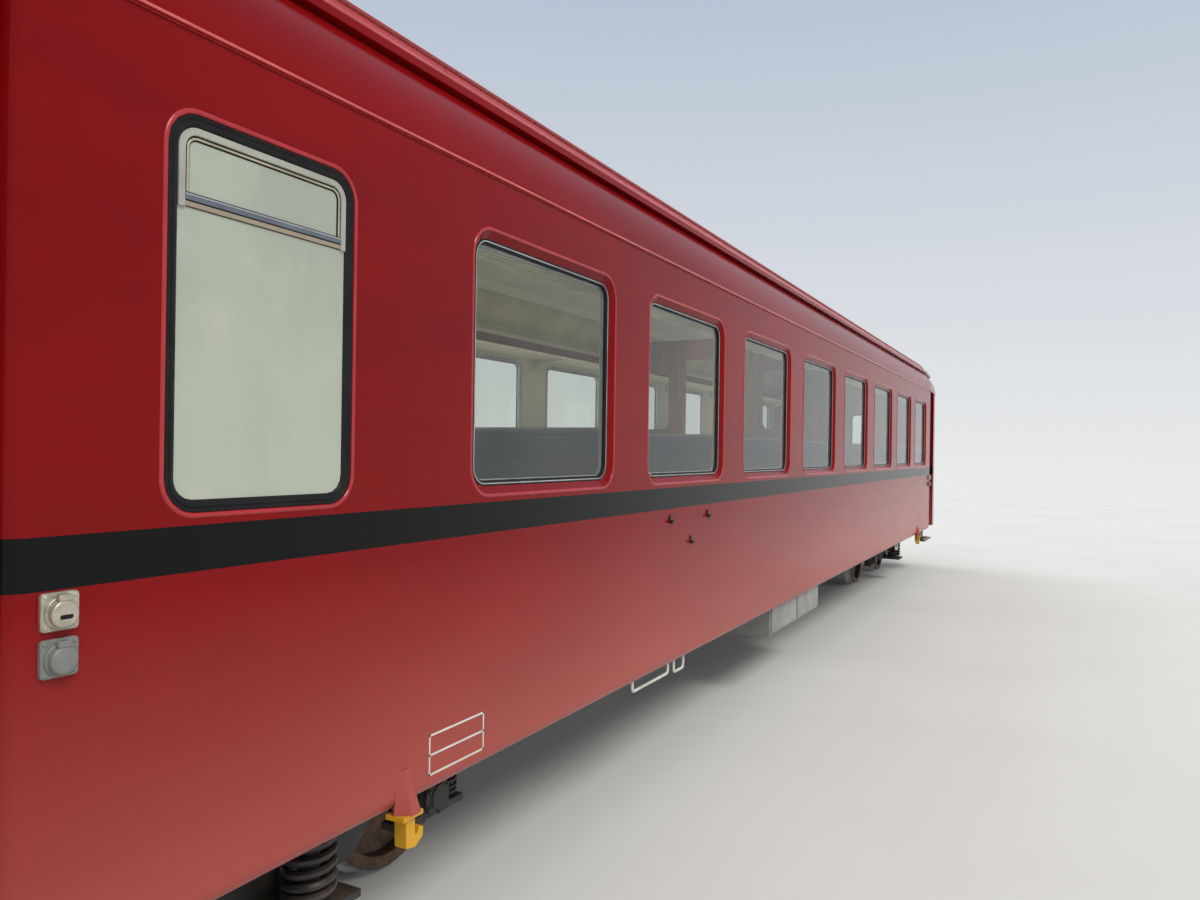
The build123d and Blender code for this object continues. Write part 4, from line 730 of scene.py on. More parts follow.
# Windows: (width, height, corner radius) and sections of (inset, out from the side's face), in mm
WINDOW_Z = 2.318
NARROW_X = -6.755
NARROW = (670, 1040, 92)
RECESS = (1215, 1040, 112)
PANE = (1147, 972, 78)
WIDE_PANE = 0.9
PRESSED_LIP = [(-15, -2), (-13, 1.6), (-9, 3.8), (-5, 3.8), (-1, 1), (0.5, -3)]
RECESS_EDGE = [
    (-14, -2), (-12, 1.4), (-8, 3.4), (-4, 3), (0, 0), (3, -6), (4, -16), (7, -23), (14, -25.6),
    (26, -25.8), (26, -30), (-4, -30),
]
PANE_RUBBER = [
    (-8, -28), (-7, -24.5), (-3, -22), (2, -21.5), (10, -21.8), (15, -24.5), (18, -29), (19, -33),
    (4, -34),
]
PANE_STRIP = [(3, -22.5), (3.5, -20.4), (5.5, -19.8), (8, -20.4), (8.5, -22.5)]
INNER_FRAME = [
    (-22, -59.5), (-21, -63.5), (-2, -64), (14, -62.5), (22, -56), (23, -42), (6, -41), (0, -56),
]
NARROW_GASKET = [
    (0, -26), (0, -4), (2, -0.8), (6, 0.6), (10, -0.6), (12, -2.8), (14, -2.8), (16, -0.6), (22, -0.8),
    (28, -3.6), (33.5, -8.6), (34, -26),
]


def window_pieces():
    """Moulded edges, rubbers, strips and inner frames of all the windows."""
    lips, rubbers, strips, inner, gaskets = (bmesh.new() for _ in range(5))
    for low, high in islands("window_panes"):
        if high.x - low.x < WIDE_PANE:
            continue
        place = on_side(1 if low.y > 0 else -1, (low.x + high.x) / 2, WINDOW_Z)
        raised(lips, *RECESS, RECESS_EDGE, place, 7, True)
        for mesh, section in ((rubbers, PANE_RUBBER), (strips, PANE_STRIP), (inner, INNER_FRAME)):
            raised(mesh, *PANE, section, place, 7, True)
    for side in (-1, 1):
        place = on_side(side, NARROW_X, WINDOW_Z)
        raised(lips, *NARROW, PRESSED_LIP, place, 9, True)
        raised(gaskets, *NARROW, NARROW_GASKET, place, 9, True)
    # The lips wear a paler red, a painted highlight.
    new_piece("window_lips", lips, "coach_red_lip", slot="coach_red")
    new_piece("pane_rubbers", rubbers, "window_rubber")
    new_piece("pane_strips", strips, "bright_aluminium")
    new_piece("inner_frames", inner, "bright_aluminium")
    new_piece("narrow_gaskets", gaskets, "window_rubber", "window_rubbers")


HOPPER = (602, 200, 58)
HOPPER_Z = 2.704
HOPPER_BACK = -11.5
# Nested bent lines of the hopper: label, inset of the middle, half width, out at the front
# The two rubber lines are painted shade: black strips laid in the gaps on either side of the brass line,
# where shade falls.
HOPPER_LINES = (("hopper", 10, 10, -3.2), ("rubber", 22.2, 2.4, -8), ("brass", 27.8, 3.2, -5.2),
                ("rubber", 33, 2, -8.6))
# Straight lines across its foot: label, middle above the hopper's foot, height, out at the front
HOPPER_BARS = (("rubber", 26.2, 4, -6), ("aluminium", 22.2, 4, -1.6), ("bar", 14, 13, -2.6),
               ("rubber", 6, 3, -5), ("tan", -2, 13, -5.6), ("rubber", -9.5, 2, -9))
HOPPER_FINISHES = {"hopper": "hopper_grey", "rubber": "window_rubber", "brass": "hopper_line",
                   "aluminium": "bright_aluminium", "bar": "hopper_bar", "tan": "hopper_seal"}
FRAME_FOOT, LINE_FOOT = -12, 28


def hopper_pieces():
    """Tilting top light: grey bent frame, bright line between black strips of painted shade for the gaps,
    bars and seal at its foot.
    """
    width, height, radius = HOPPER
    meshes = {label: bmesh.new() for label in HOPPER_FINISHES}
    for side in (-1, 1):
        place = on_side(side, NARROW_X, HOPPER_Z)
        for label, inset, half, front in HOPPER_LINES:
            arc = rounded(width - 2 * inset, height - 2 * inset, radius - inset, 7)[:16]
            foot = (FRAME_FOOT if label == "hopper" else LINE_FOOT) - height / 2
            path = [(arc[0][0], foot)] + arc + [(arc[-1][0], foot)]
            ribbon(meshes[label], path, half, HOPPER_BACK, front, min(half, 1.6), place)
        for label, middle, tall, front in HOPPER_BARS:
            levels = [(0, HOPPER_BACK), (0, front - 0.8), (0.6, front)]
            place = on_side(side, NARROW_X, HOPPER_Z + (middle - height / 2) / 1000)
            raised(meshes[label], width - 41, tall, 0.9, levels, place, 1)
    for label, mesh in meshes.items():
        slot = "window_rubber" if label == "rubber" else "bright_aluminium"
        new_piece(f"hopper_{label}_lines", mesh, HOPPER_FINISHES[label], "hopper_frames", slot=slot)


# Rolled edges along the sides: name, out from the middle, height, radius
ROLLS = (("cornice_bead", 1.3405, 3.058, 0.0096), ("gutter_roll", 1.255, 3.3915, 0.0062))
ROLL_END_X, DOORWAY_X, DRAWN_IN = 8.618, 7.47, 0.0719


def edge_rolls():
    """Rounded cornice bead and gutter edge along both sides, drawn in at the entrances, in a pale pink
    that is a painted highlight.
    """
    for name, out, z, radius in ROLLS:
        mesh = bmesh.new()
        tip = out - DRAWN_IN
        path = [(-ROLL_END_X, tip), (-DOORWAY_X, out), (DOORWAY_X, out), (ROLL_END_X, tip)]
        for side in (-1, 1):
            tube(mesh, [(x, side * y, z) for x, y in path], radius, 12)
        new_piece(name, mesh, "coach_red_bead", slot="coach_red")


def outline_boxes():
    """Painted outline of a blank two-line panel near the bottom edge, on both sides."""
    mesh = bmesh.new()
    line, x0, x1, z0, z1, middle = 8, 5655, 6000, 792, 942, 863
    bars = [(x0, x1, z0, z0 + line), (x0, x1, z1 - line, z1), (x0, x1, middle, middle + line),
            (x0, x0 + line, z0, z1), (x1 - line, x1, z0, z1)]
    for sign in (-1, 1):
        for a, b, c, d in bars:
            place = on_side(sign, sign * (a + b) / 2000, (c + d) / 2000)
            raised(mesh, b - a, d - c, 1, [(0, -0.5), (0, 0.4)], place, 1)
    new_piece("outline_boxes", mesh, "handle_white")


SOCKET_X = 7.355
SOCKETS = (("socket_upper", 1.596, "socket_metal"), ("socket_lower", 1.491, "socket_grey"))
SOCKET_FLANGE = [(0, -1), (0, 8.5), (2.5, 11.5), (10, 12)]
SOCKET_LID = [(0, 17.5), (0, 27), (1.5, 30), (6, 32.2), (16, 33.5)]
SCREW_OUT = 0.034


def socket_pieces():
    """Square flanges with corner screws and hinged round lids, cream above and grey below."""
    for name, z, finish in SOCKETS:
        mesh = bmesh.new()
        for end, side in CORNERS:
            x = end * SOCKET_X
            raised(mesh, 88, 88, 10, SOCKET_FLANGE, on_side(side, x, z), 4)
            disc(mesh, 38, [(0, 11), (0, 16), (2, 18)], on_side(side, x, z - 0.003), 7)
            disc(mesh, 32.5, SOCKET_LID, on_side(side, x, z - 0.004), 7)
            raised(mesh, 30, 16, 4, [(0, 11), (0, 29), (3, 32)], on_side(side, x, z + 0.032), 3)
            for u in (-SCREW_OUT, SCREW_OUT):
                for v in (-SCREW_OUT, SCREW_OUT):
                    disc(mesh, 5.2, [(0, 11), (0.4, 13.2), (2.2, 14.5)], on_side(side, x + u, z + v), 3)
        new_piece(name, mesh, finish, "wall_sockets", slot="socket_metal")
    slots = bmesh.new()
    for end, side in CORNERS:
        place = on_side(side, end * SOCKET_X, SOCKETS[0][1] - 0.01)
        raised(slots, 30, 10, 4, [(0, 30), (0, 34.2), (1, 34.7)], place, 3)
    new_piece("socket_latches", slots, "window_rubber")


# Handles under the skirt: start from the near doorway, length, drop
HANDLES = ((3.29, 0.49, 0.06), (3.87, 0.15, 0.075), (11.85, 0.15, 0.075))
HANDLE_Y, HANDLE_TOP, SKIRT_Z = 1.293, 0.745, 0.728
RAIL_X, RAIL_WALL_X, RAIL_FLANGE_X, RAIL_Y, RAIL_ENDS = 8.268, 8.31, 8.3105, 1.195, (1.208, 2.248)
HANDLE_BEND, HANDLE_BAR, RAIL_BEND, RAIL_BAR = 0.026, 0.0088, 0.030, 0.0135
RAIL_FLANGE = [(0, 24), (4, 24), (6.5, 21), (8, 14)]


def handle_pieces():
    """Bent white handles under the skirt, and the bright grab rails beside the doors."""
    white, bright = bmesh.new(), bmesh.new()
    for start, length, drop in HANDLES:
        left, low = start - DOORWAY_X, SKIRT_Z - drop
        right = left + length
        path = [(left, HANDLE_TOP), (left, low), (right, low), (right, HANDLE_TOP)]
        for turn in (-1, 1):
            tube(white, bent([(-turn * x, turn * HANDLE_Y, z) for x, z in path], HANDLE_BEND), HANDLE_BAR)
    for end, side in CORNERS:
        y, (low, high) = side * RAIL_Y, RAIL_ENDS
        path = [(RAIL_WALL_X, low), (RAIL_X, low), (RAIL_X, high), (RAIL_WALL_X, high)]
        tube(bright, bent([(end * x, y, z) for x, z in path], RAIL_BEND, 6), RAIL_BAR, 12)
        for z in RAIL_ENDS:
            turned(bright, (end * RAIL_FLANGE_X, y, z), (-end, 0, 0), RAIL_FLANGE, 16)
    new_piece("step_handles", white, "handle_white", "handrails")
    new_piece("grab_rails", bright, "bright_aluminium", "handrails")


def coil(mesh, x, y, low, high, outer, wire, turns=7):
    """A coil spring with closed end turns, round a guide post."""
    steps = 16
    height = high - low - 2 * wire
    end_rise, reach = 2.05 * wire, outer - wire
    path = []
    for k in range(turns * steps + 1):
        turn = k / steps
        if turn < 1:
            rise = end_rise * turn
        elif turn > turns - 1:
            rise = height - end_rise * (turns - turn)
        else:
            rise = end_rise + (height - 2 * end_rise) * (turn - 1) / (turns - 2)
        a = 2 * pi * turn
        path.append((x + reach * cos(a), y + reach * sin(a), low + wire + rise))
    tube(mesh, path, wire, 8)
    post, tall = 720 * (outer - 2 * wire), 1000 * (high - low)
    profile = [(0, post), (30, post), (34, post * 0.8), (tall - 34, post * 0.8), (tall - 30, post),
               (tall, post)]
    turned(mesh, (x, y, low), (0, 0, 1), profile, 16)


# Outer radius and wire radius
SPRINGS = (("primary_springs", 0.052, 0.0098), ("bogie_springs", 0.100, 0.0165))


def spring_pieces():
    for end, _ in ENDS:
        for start, outer, wire in SPRINGS:
            mesh = bmesh.new()
            name = f"{start}_{end}"
            for low, high in islands(name):
                coil(mesh, (low.x + high.x) / 2, (low.y + high.y) / 2, low.z, high.z, outer, wire)
            new_piece(f"{start}_coiled_{end}", mesh, "spring", name,
                      slot="underframe", body=BODY_OF[name])


# One half of a wheelset's section: (out from the middle, radius)
WHEEL_PROFILE = [
    (443, 65), (445, 68), (445, 101), (449, 105), (494, 105), (501, 112), (498.5, 150), (492.5, 300),
    (488, 311), (470, 314), (465, 320), (465, 391), (468, 398), (474, 402.5), (480, 403), (486, 400),
    (491, 391), (496, 379), (503, 375.5), (585, 371.5), (590, 367), (590, 320), (586, 315), (525, 313),
    (519, 304), (526.5, 150), (530, 113), (537, 105), (591, 105), (595, 101), (595, 68), (598, 65),
    (710, 65), (713, 62), (713, 55), (832, 55), (835, 52),
]
PINION_TEETH = 19
PINION_HALF = 50
# Half a tooth: (share of the pitch, radius), and the sides of the pinion: (out from the middle, radius)
PINION_TOOTH = [
    (-0.5, 270.4), (-0.26, 270.4), (-0.205, 273.5), (-0.175, 281), (-0.15, 290), (-0.125, 302.4),
    (-0.1, 314), (-0.08, 323), (-0.062, 327.5), (-0.035, 328.4),
]
PINION_SIDE = [
    (75, 65), (75, 116), (71, 120), (34, 124), (30, 130), (30, 226), (34, 234), (PINION_HALF, 238),
]


def pinion(mesh, x):
    """Toothed rack wheel with a rim, a thinner web and a boss, round the axle."""
    tooth = PINION_TOOTH + [(-share, radius) for share, radius in reversed(PINION_TOOTH[1:])]
    polar = [(2 * pi * (number + share) / PINION_TEETH, radius)
             for number in range(PINION_TEETH) for share, radius in tooth]
    rows = [[(along, radius, a) for a, _ in polar] for along, radius in PINION_SIDE]
    face = PINION_HALF
    for along, grow in ((face, -1.5), (face - 3, 0), (3 - face, 0), (-face, -1.5)):
        rows.append([(along, radius + grow, a) for a, radius in polar])
    rows += [[(-along, radius, a) for a, _ in polar] for along, radius in reversed(PINION_SIDE)]
    bridge(mesh, [[mesh.verts.new((x + r / 1000 * cos(a), y / 1000, AXLE_Z + r / 1000 * sin(a)))
                   for y, r, a in row] for row in rows], True)


def wheelsets():
    profile = [(-along, radius) for along, radius in reversed(WHEEL_PROFILE)] + WHEEL_PROFILE
    for end, _ in ENDS:
        for place in ("inner", "outer"):
            name = f"wheelset_{end}_{place}"
            low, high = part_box(name)
            x = (low.x + high.x) / 2
            mesh = bmesh.new()
            turned(mesh, (x, 0, AXLE_Z), (0, 1, 0), profile, 56)
            if place == "inner":
                pinion(mesh, x)
            new_piece(f"{name}_turned", mesh, name, name, slot="wheel_steel", body=BODY_OF[name])


BOX_XS = (5.31, 7.11)
COVER_Y = 0.831
COVER = [(0, 83.5), (27, 83.5), (31, 80), (33, 62), (34.5, 58), (44, 55), (47, 46)]
BOLTS, BOLT_RING, BOLT_HEAD = 6, 0.071, [(30, 9.5), (38.5, 9.5), (40, 7.5)]


def axle_covers():
    """Round covers with six bolts on the axle boxes."""
    for end, sign in ENDS:
        mesh = bmesh.new()
        for x in BOX_XS:
            for side in (-1, 1):
                turned(mesh, (sign * x, side * COVER_Y, AXLE_Z), (0, side, 0), COVER, 28)
                for number in range(BOLTS):
                    a = radians(360 / BOLTS * number + 30)
                    across, up = BOLT_RING * cos(a), BOLT_RING * sin(a)
                    spot = (sign * x + across, side * COVER_Y, AXLE_Z + up)
                    turned(mesh, spot, (0, side, 0), BOLT_HEAD, 6)
        new_piece(f"axle_covers_{end}", mesh, "bogie", slot="underframe", body=f"bogie_{end}")


TANK_YS, TANK_Z, TANK_START, TANK_STRAPS = (0.42, 0.84), 0.668, 0.4675, (0.5875, 2.2275)
TANK, SMALL_TANK = (1880, 170), (350, 70, 35)
STRAP_OUT, HANGER_HALF, HANGER_FOOT = 0.022, (0.025, 0.060), 0.806
TANK_STRAP = [(0, 171), (1, 174.5), (43, 174.5), (44, 171)]
TANK_DRAIN, DRAIN_X, DRAIN_Z = [(0, 18), (12, 18), (14, 11), (22, 11)], 1.4, 0.506
SMALL_TANK_START = (1.43, -1.25, 0.71)
SMALL_TANK_CLAMP = ((1.385, -1.229, 0.745), (1.475, -1.19, 0.788))
FLOOR_UNDER = 0.868
BRAKE_X, BRAKE_Z, BRAKE_START, ROD_START, LEVER_OUT = -2.6925, 0.678, -0.260, 0.118, 0.420
BRAKE_PROFILE = [
    (0, 40), (6, 100), (22, 138), (44, 150), (300, 150), (302, 150.5), (318, 150.5), (320, 144),
    (350, 144), (372, 110), (380, 60),
]
DOME = [(0, 0.1), (0.06, 0.42), (0.24, 0.72), (0.52, 0.9), (0.8, 0.98), (1, 1)]


def dished(length, radius, depth=85):
    """Profile of a tank with domed ends and a weld seam near each."""
    end = [(depth * deep, radius * wide) for deep, wide in DOME]
    end += [(depth + along, radius + out) for along, out in ((20, 0), (22, 1.8), (30, 1.8), (32, 0))]
    return end + [(length - along, r) for along, r in reversed(end)]


def floor_gear():
    """Reservoirs with straps, and the brake cylinder with its rod and lever."""
    tanks = bmesh.new()
    for y in TANK_YS:
        turned(tanks, (TANK_START, y, TANK_Z), (1, 0, 0), dished(*TANK))
        for x in TANK_STRAPS:
            turned(tanks, (x - STRAP_OUT, y, TANK_Z), (1, 0, 0), TANK_STRAP)
            wide, deep = HANGER_HALF
            brick(tanks, (x - wide, y - deep, HANGER_FOOT), (x + wide, y + deep, FLOOR_UNDER))
        turned(tanks, (DRAIN_X, y, DRAIN_Z), (0, 0, -1), TANK_DRAIN, 6)
    turned(tanks, SMALL_TANK_START, (0, 1, 0), dished(*SMALL_TANK), 24)
    brick(tanks, *SMALL_TANK_CLAMP)
    new_piece("air_tanks_domed", tanks, "tank", "air_tanks", slot="underframe")
    brake = bmesh.new()
    x, z, tip = BRAKE_X, BRAKE_Z, BRAKE_X + LEVER_OUT
    turned(brake, (x + BRAKE_START, 0, z), (1, 0, 0), BRAKE_PROFILE)
    turned(brake, (x + ROD_START, 0, z), (1, 0, 0), [(0, 32), (300, 32)], 16)
    brick(brake, (x - 0.035, -0.11, z + 0.075), (x + 0.035, 0.11, FLOOR_UNDER))
    brick(brake, (tip - 0.02, -0.42, z - 0.03), (tip + 0.02, 0.42, z + 0.03), 6)
    new_piece("brake_cylinder_turned", brake, "tank", "brake_cylinder", slot="underframe")


BUFFER_Z, BUFFER_ROOT, BUFFER_PLATE = 0.818, 8.62, 9.23
BUFFER_STEM = [(0, 85), (225, 85), (228, 90), (256, 90), (260, 84), (261, 58), (612, 58)]
BUFFER_CROWN = [(10, 0), (0, 6), (0, 26), (3, 34), (10, 42), (24, 50), (50, 56), (85, 59.4), (100, 60)]
BUFFER_HEAD = (460, 220, 60)
EYE_X, EYE_Z, EAR_END_X, EAR_Y, EAR_HALF, EAR_LEVELS = 8.926, 0.796, 8.886, 0.17, 0.021, (0.748, 0.808)
DRAW_EYE = [(-22, 27), (-22, 44), (-18, 48), (18, 48), (22, 44), (22, 27), (18, 24.5), (-18, 24.5)]


def buffers():
    """Crowned centre buffer with a draw eye on each side."""
    mesh = bmesh.new()
    for end in (-1, 1):
        turned(mesh, (end * BUFFER_ROOT, 0, BUFFER_Z), (end, 0, 0), BUFFER_STEM, 28)
        raised(mesh, *BUFFER_HEAD, BUFFER_CROWN, on_end(end, BUFFER_Z, BUFFER_PLATE), 5)
        low_x, high_x = sorted((end * BUFFER_ROOT, end * EAR_END_X))
        for y in (-EAR_Y, EAR_Y):
            brick(mesh, (low_x, y - EAR_HALF, EAR_LEVELS[0]), (high_x, y + EAR_HALF, EAR_LEVELS[1]), 4)
            turned(mesh, (end * EYE_X, y, EYE_Z), (0, 1, 0), DRAW_EYE, 24, True)
    new_piece("centre_buffers_crowned", mesh, "buffer_steel", "centre_buffers")


LAMP_Y, LAMP_Z = 1.035, 1.278
LAMP_BODY = [(-2, 75), (34, 75), (37.5, 73.5), (40, 69), (38.5, 65.5), (30, 64)]
LAMP_LENS = [(26, 63.5), (38, 63.5), (44, 61), (48.5, 54), (52.5, 40), (54.5, 22), (55, 6)]


def lamps():
    body, lens = bmesh.new(), bmesh.new()
    for end, side in CORNERS:
        for mesh, profile in ((body, LAMP_BODY), (lens, LAMP_LENS)):
            turned(mesh, (end * END_FACE, side * LAMP_Y, LAMP_Z), (end, 0, 0), profile, 36)
    new_piece("lamp_bodies", body, "step", "tail_lamps", slot="lamp_red")
    new_piece("lamp_lenses", lens, "lamp_red", "tail_lamps")


BELLOWS, BELLOWS_Z, FOLDS = (940, 2130, 90), 2.003, 7


def bellows():
    """Rubber passage bellows with seven folds and a face frame."""
    mesh = bmesh.new()
    depth, wall, fold = 192, 90, 34
    step = (depth - 20) / FOLDS
    outer = [(fold, -1)]
    for k in range(FOLDS):
        crest = ((4, 0.38), (0, 0.5), (4, 0.62), (fold, 1))
        outer += [(inset, step * (k + share)) for inset, share in crest]
    front = [(3, depth - 18), (0, depth - 15), (0, depth - 3), (3, depth)]
    front += [(wall - 3, depth), (wall, depth - 3), (wall, depth - 18)]
    inner = [(min(inset + 46, wall - 2), out) for inset, out in reversed(outer)]
    for end in (-1, 1):
        raised(mesh, *BELLOWS, outer + front + inner, on_end(end, BELLOWS_Z), 5, True)
    new_piece("bellows_folded", mesh, "bellows_rubber", "gangway_bellows")


RACK_SPANS = ((-5.938, 0.552), (0.622, 7.112))
RACK_TOP, RACK_FRONT, RACK_RAIL = 2.863, 0.940, 0.012
SLATS, SLAT_START, SLAT_PITCH, SLAT_HALF, SLAT_DEEP = 8, 0.046, 0.040, 0.0085, 0.010
BRACKET_HALF = 0.006
# Outline of a bracket: (out from the middle, height) in metres
RACK_BRACKET = [
    (1.28, 2.762), (1.262, 2.762), (1.21, 2.8), (1.09, 2.828), (0.952, 2.842), (0.952, 2.853),
    (1.28, 2.853),
]
PILLAR_XS = [-5.9725 + BAY * number for number in range(9)]


def racks():
    """Luggage racks: thin slats between a front rail and the wall, on brackets at the pillars."""
    mesh = bmesh.new()
    for start, end in RACK_SPANS:
        for side in (-1, 1):
            rail_y = side * (RACK_FRONT + RACK_RAIL)
            tube(mesh, [(x, rail_y, RACK_TOP - 0.001) for x in (start, end)], RACK_RAIL)
            for number in range(SLATS):
                y = side * (RACK_FRONT + SLAT_START + number * SLAT_PITCH)
                low, high = (start, y - SLAT_HALF, RACK_TOP - SLAT_DEEP), (end, y + SLAT_HALF, RACK_TOP)
                brick(mesh, low, high, 2.5)
            stations = [x for x in PILLAR_XS if start < x < end]
            stations += [start + 2 * BRACKET_HALF, end - 2 * BRACKET_HALF]
            for x in stations:
                bridge(mesh, [[mesh.verts.new((at, side * y, z)) for y, z in RACK_BRACKET]
                              for at in (x - BRACKET_HALF, x + BRACKET_HALF)])
    new_piece("racks_slatted", mesh, "rack_cream", "luggage_racks")


# Outer edge and top of the treads
TREADS = ((1.135, 0.778), (1.27, 0.528))
TREAD_ENDS = (7.506, 8.274)
NOSING_INSETS, NOSING_THICK = (0.030, 0.001), 0.0015


def step_edges():
    """Pale nosing on each tread of the entrance steps."""
    mesh = bmesh.new()
    for end, side in CORNERS:
        low_x, high_x = sorted(end * x for x in TREAD_ENDS)
        for y, z in TREADS:
            low_y, high_y = sorted(side * (y - inset) for inset in NOSING_INSETS)
            brick(mesh, (low_x, low_y, z - 0.001), (high_x, high_y, z + NOSING_THICK), 0.6)
    new_piece("step_edges", mesh, "step_edge", slot="handle_white")


def mirrored(stops):
    """Grid lines from -1 to 1 out of those from 0 to 1."""
    return [-s for s in reversed(stops)] + [s for s in stops if s > 0]


# Pads. Grid lines from -1 to 1: across its width, along its depth or height, through its padding
ACROSS = mirrored([0, 0.014, 0.04, 0.12, 0.24, 0.38, 0.52, 0.66, 0.79, 0.89, 0.96, 1])
SEAT_ALONG = mirrored([0.1, 0.32, 0.54, 0.74, 0.9, 1])
BACK_ALONG = [
    -1, -0.94, -0.82, -0.66, -0.48, -0.3, -0.12, 0.06, 0.24, 0.4, 0.5, 0.54, 0.58, 0.68, 0.8,
    0.93, 1,
]
THROUGH = mirrored([0.35, 1])
PAD_POWER = 9
PAD_PRESSURE = 4
SWELL_CAP = 0.024
CLOTH_FRAMES = 20
SKIN_SHARE = 0.97
CHANNEL_FACE = 0.3
PIPING, PIPING_SHARE = 0.0042, 0.992
# Sewn channels: axis, level from -1 to 1, width, depth
SEAT_CHANNELS = [(1, 0, 0.012, 0.007)]
BACK_CHANNELS = [(1, 0, 0.012, 0.006), (2, 0.54, 0.012, 0.006)]


def pad_skin(size, along):
    """Grid skin of a pad round the origin: x through, y across, z along; with the rim of its front."""
    stops = (THROUGH, ACROSS, along)
    cells = [len(one) - 1 for one in stops]
    mesh = bmesh.new()
    made = {}

    def corner(index):
        if index not in made:
            p = Vector(stops[k][index[k]] for k in range(3))
            norm = sum(abs(c) ** PAD_POWER for c in p) ** (1 / PAD_POWER)
            made[index] = mesh.verts.new([p[k] / norm * size[k] / 2 for k in range(3)])
        return made[index]

    for axis in range(3):
        a, b = (axis + 1) % 3, (axis + 2) % 3
        for end in (0, cells[axis]):
            for i in range(cells[a]):
                for j in range(cells[b]):
                    quad = []
                    for di, dj in ((0, 0), (1, 0), (1, 1), (0, 1)):
                        index = [0, 0, 0]
                        index[axis], index[a], index[b] = end, i + di, j + dj
                        quad.append(corner(tuple(index)))
                    mesh.faces.new(quad)
    mesh.verts.index_update()
    front, wide, long = cells
    rim = [(front, j, 0) for j in range(wide)] + [(front, wide, k) for k in range(long)]
    rim += [(front, j, long) for j in range(wide, 0, -1)] + [(front, 0, k) for k in range(long, 0, -1)]
    rim = [made[index].index for index in rim]
    bmesh.ops.recalc_face_normals(mesh, faces=mesh.faces)
    points = [v.co.copy() for v in mesh.verts]
    faces = [[v.index for v in face.verts] for face in mesh.faces]
    mesh.free()
    return points, faces, rim


def inflate(points, faces):
    """Blows a pad up with cloth pressure and returns where its points go, capped."""
    data = bpy.data.meshes.new("pad_test")
    data.from_pydata(points, [], faces)
    pad = add("pad_test", data)
    modifier = pad.modifiers.new("Cloth", "CLOTH")
    modifier.settings.use_pressure = True
    modifier.settings.uniform_pressure_force = PAD_PRESSURE
    modifier.settings.effector_weights.gravity = 0
    modifier.point_cache.frame_start, modifier.point_cache.frame_end = 1, CLOTH_FRAMES
    for number in range(1, CLOTH_FRAMES + 1):
        SCENE.frame_set(number)
    shown = pad.evaluated_get(bpy.context.evaluated_depsgraph_get())
    moved = [v.co.copy() for v in shown.data.vertices]
    bpy.data.objects.remove(pad)
    bpy.data.meshes.remove(data)
    SCENE.frame_set(1)
    result = []
    for before, after in zip(points, moved):
        step = after - before
        if step.length > SWELL_CAP:
            step *= SWELL_CAP / step.length
        result.append(before + step)
    return result


def fitted(points, size):
    """Scales points to a box round the origin."""
    low, high = ([pick(p[k] for p in points) for k in range(3)] for pick in (min, max))
    return [Vector((p[k] - (low[k] + high[k]) / 2) * size[k] / (high[k] - low[k]) for k in range(3))
            for p in points]


def make_pad(size, along, channels):
    """Points, faces and rim of a pad: inflated, fitted to its box, sewn channels pressed in."""
    points, faces, rim = pad_skin(size * SKIN_SHARE, along)
    points = inflate(points, faces)
    points = fitted(points, size)
    for axis, level, width, depth in channels:
        for p in points:
            near = (p[axis] - level * size[axis] / 2) / width
            if abs(near) < 3 and abs(p.x) > size.x * CHANNEL_FACE:
                p.x -= copysign(depth * exp(-near * near), p.x)
    return points, faces, rim


def place_pads(node, label, along, channels, order, flips):
    """One pad in the box of every solid of a node, with piping round its padded faces."""
    boxes = islands(node)
    size = boxes[0][1] - boxes[0][0]
    points, faces, rim = make_pad(Vector(size[k] for k in order), along, channels)
    piping = bmesh.new()
    for number, (low, high) in enumerate(boxes, 1):
        def put(p, flip=1):
            placed = [0, 0, 0]
            for k, value in zip(order, (p[0] * flip, p[1], p[2])):
                placed[k] = value
            return (low + high) / 2 + Vector(placed)
        mesh = bmesh.new()
        verts = [mesh.verts.new(put(p)) for p in points]
        for face in faces:
            mesh.faces.new([verts[k] for k in face])
        piece = new_piece(f"{label}_{number:02d}", mesh, "seat_moquette", node, slot="seat_cloth")
        piece.modifiers.new("soft", "SUBSURF").levels = 1
        for flip in flips:
            tube(piping, [put(points[k] * PIPING_SHARE, flip) for k in rim], PIPING, 6, True)
    new_piece(f"{label}_piping", piping, "seat_piping", slot="seat_cloth")


door_lights()
window_pieces()
hopper_pieces()
edge_rolls()
outline_boxes()
socket_pieces()
handle_pieces()
spring_pieces()
wheelsets()
axle_covers()
floor_gear()
buffers()
lamps()
bellows()
racks()
step_edges()
place_pads("seat_cushions", "seat_cushion", SEAT_ALONG, SEAT_CHANNELS, (2, 1, 0), (1,))
place_pads("seat_backs", "seat_back", BACK_ALONG, BACK_CHANNELS, (0, 1, 2), (1, -1))


def make_floor():
    """Pale floor that can't be seen from underneath."""
    data = bpy.data.meshes.new("floor_stage")
    reach = 400
    corners = [(-reach, -reach, 0), (reach, -reach, 0), (reach, reach, 0), (-reach, reach, 0)]
    data.from_pydata(corners, [], [(0, 1, 2, 3)])
    look = Look("stage_floor", (222, 221, 217), 0.75)
    look.mottle((212, 210, 205), 0.35, 0.5)
    look.grain(30, 3, 0.001, 0.2)
    under = look.node("NewGeometry").outputs["Backfacing"]
    clear = look.node("BsdfTransparent").outputs[0]
    look.plug(look.output.inputs["Surface"], look.mixed(under, look.shader.outputs[0], clear))
    data.materials.append(look.done())
    add("floor_stage", data)


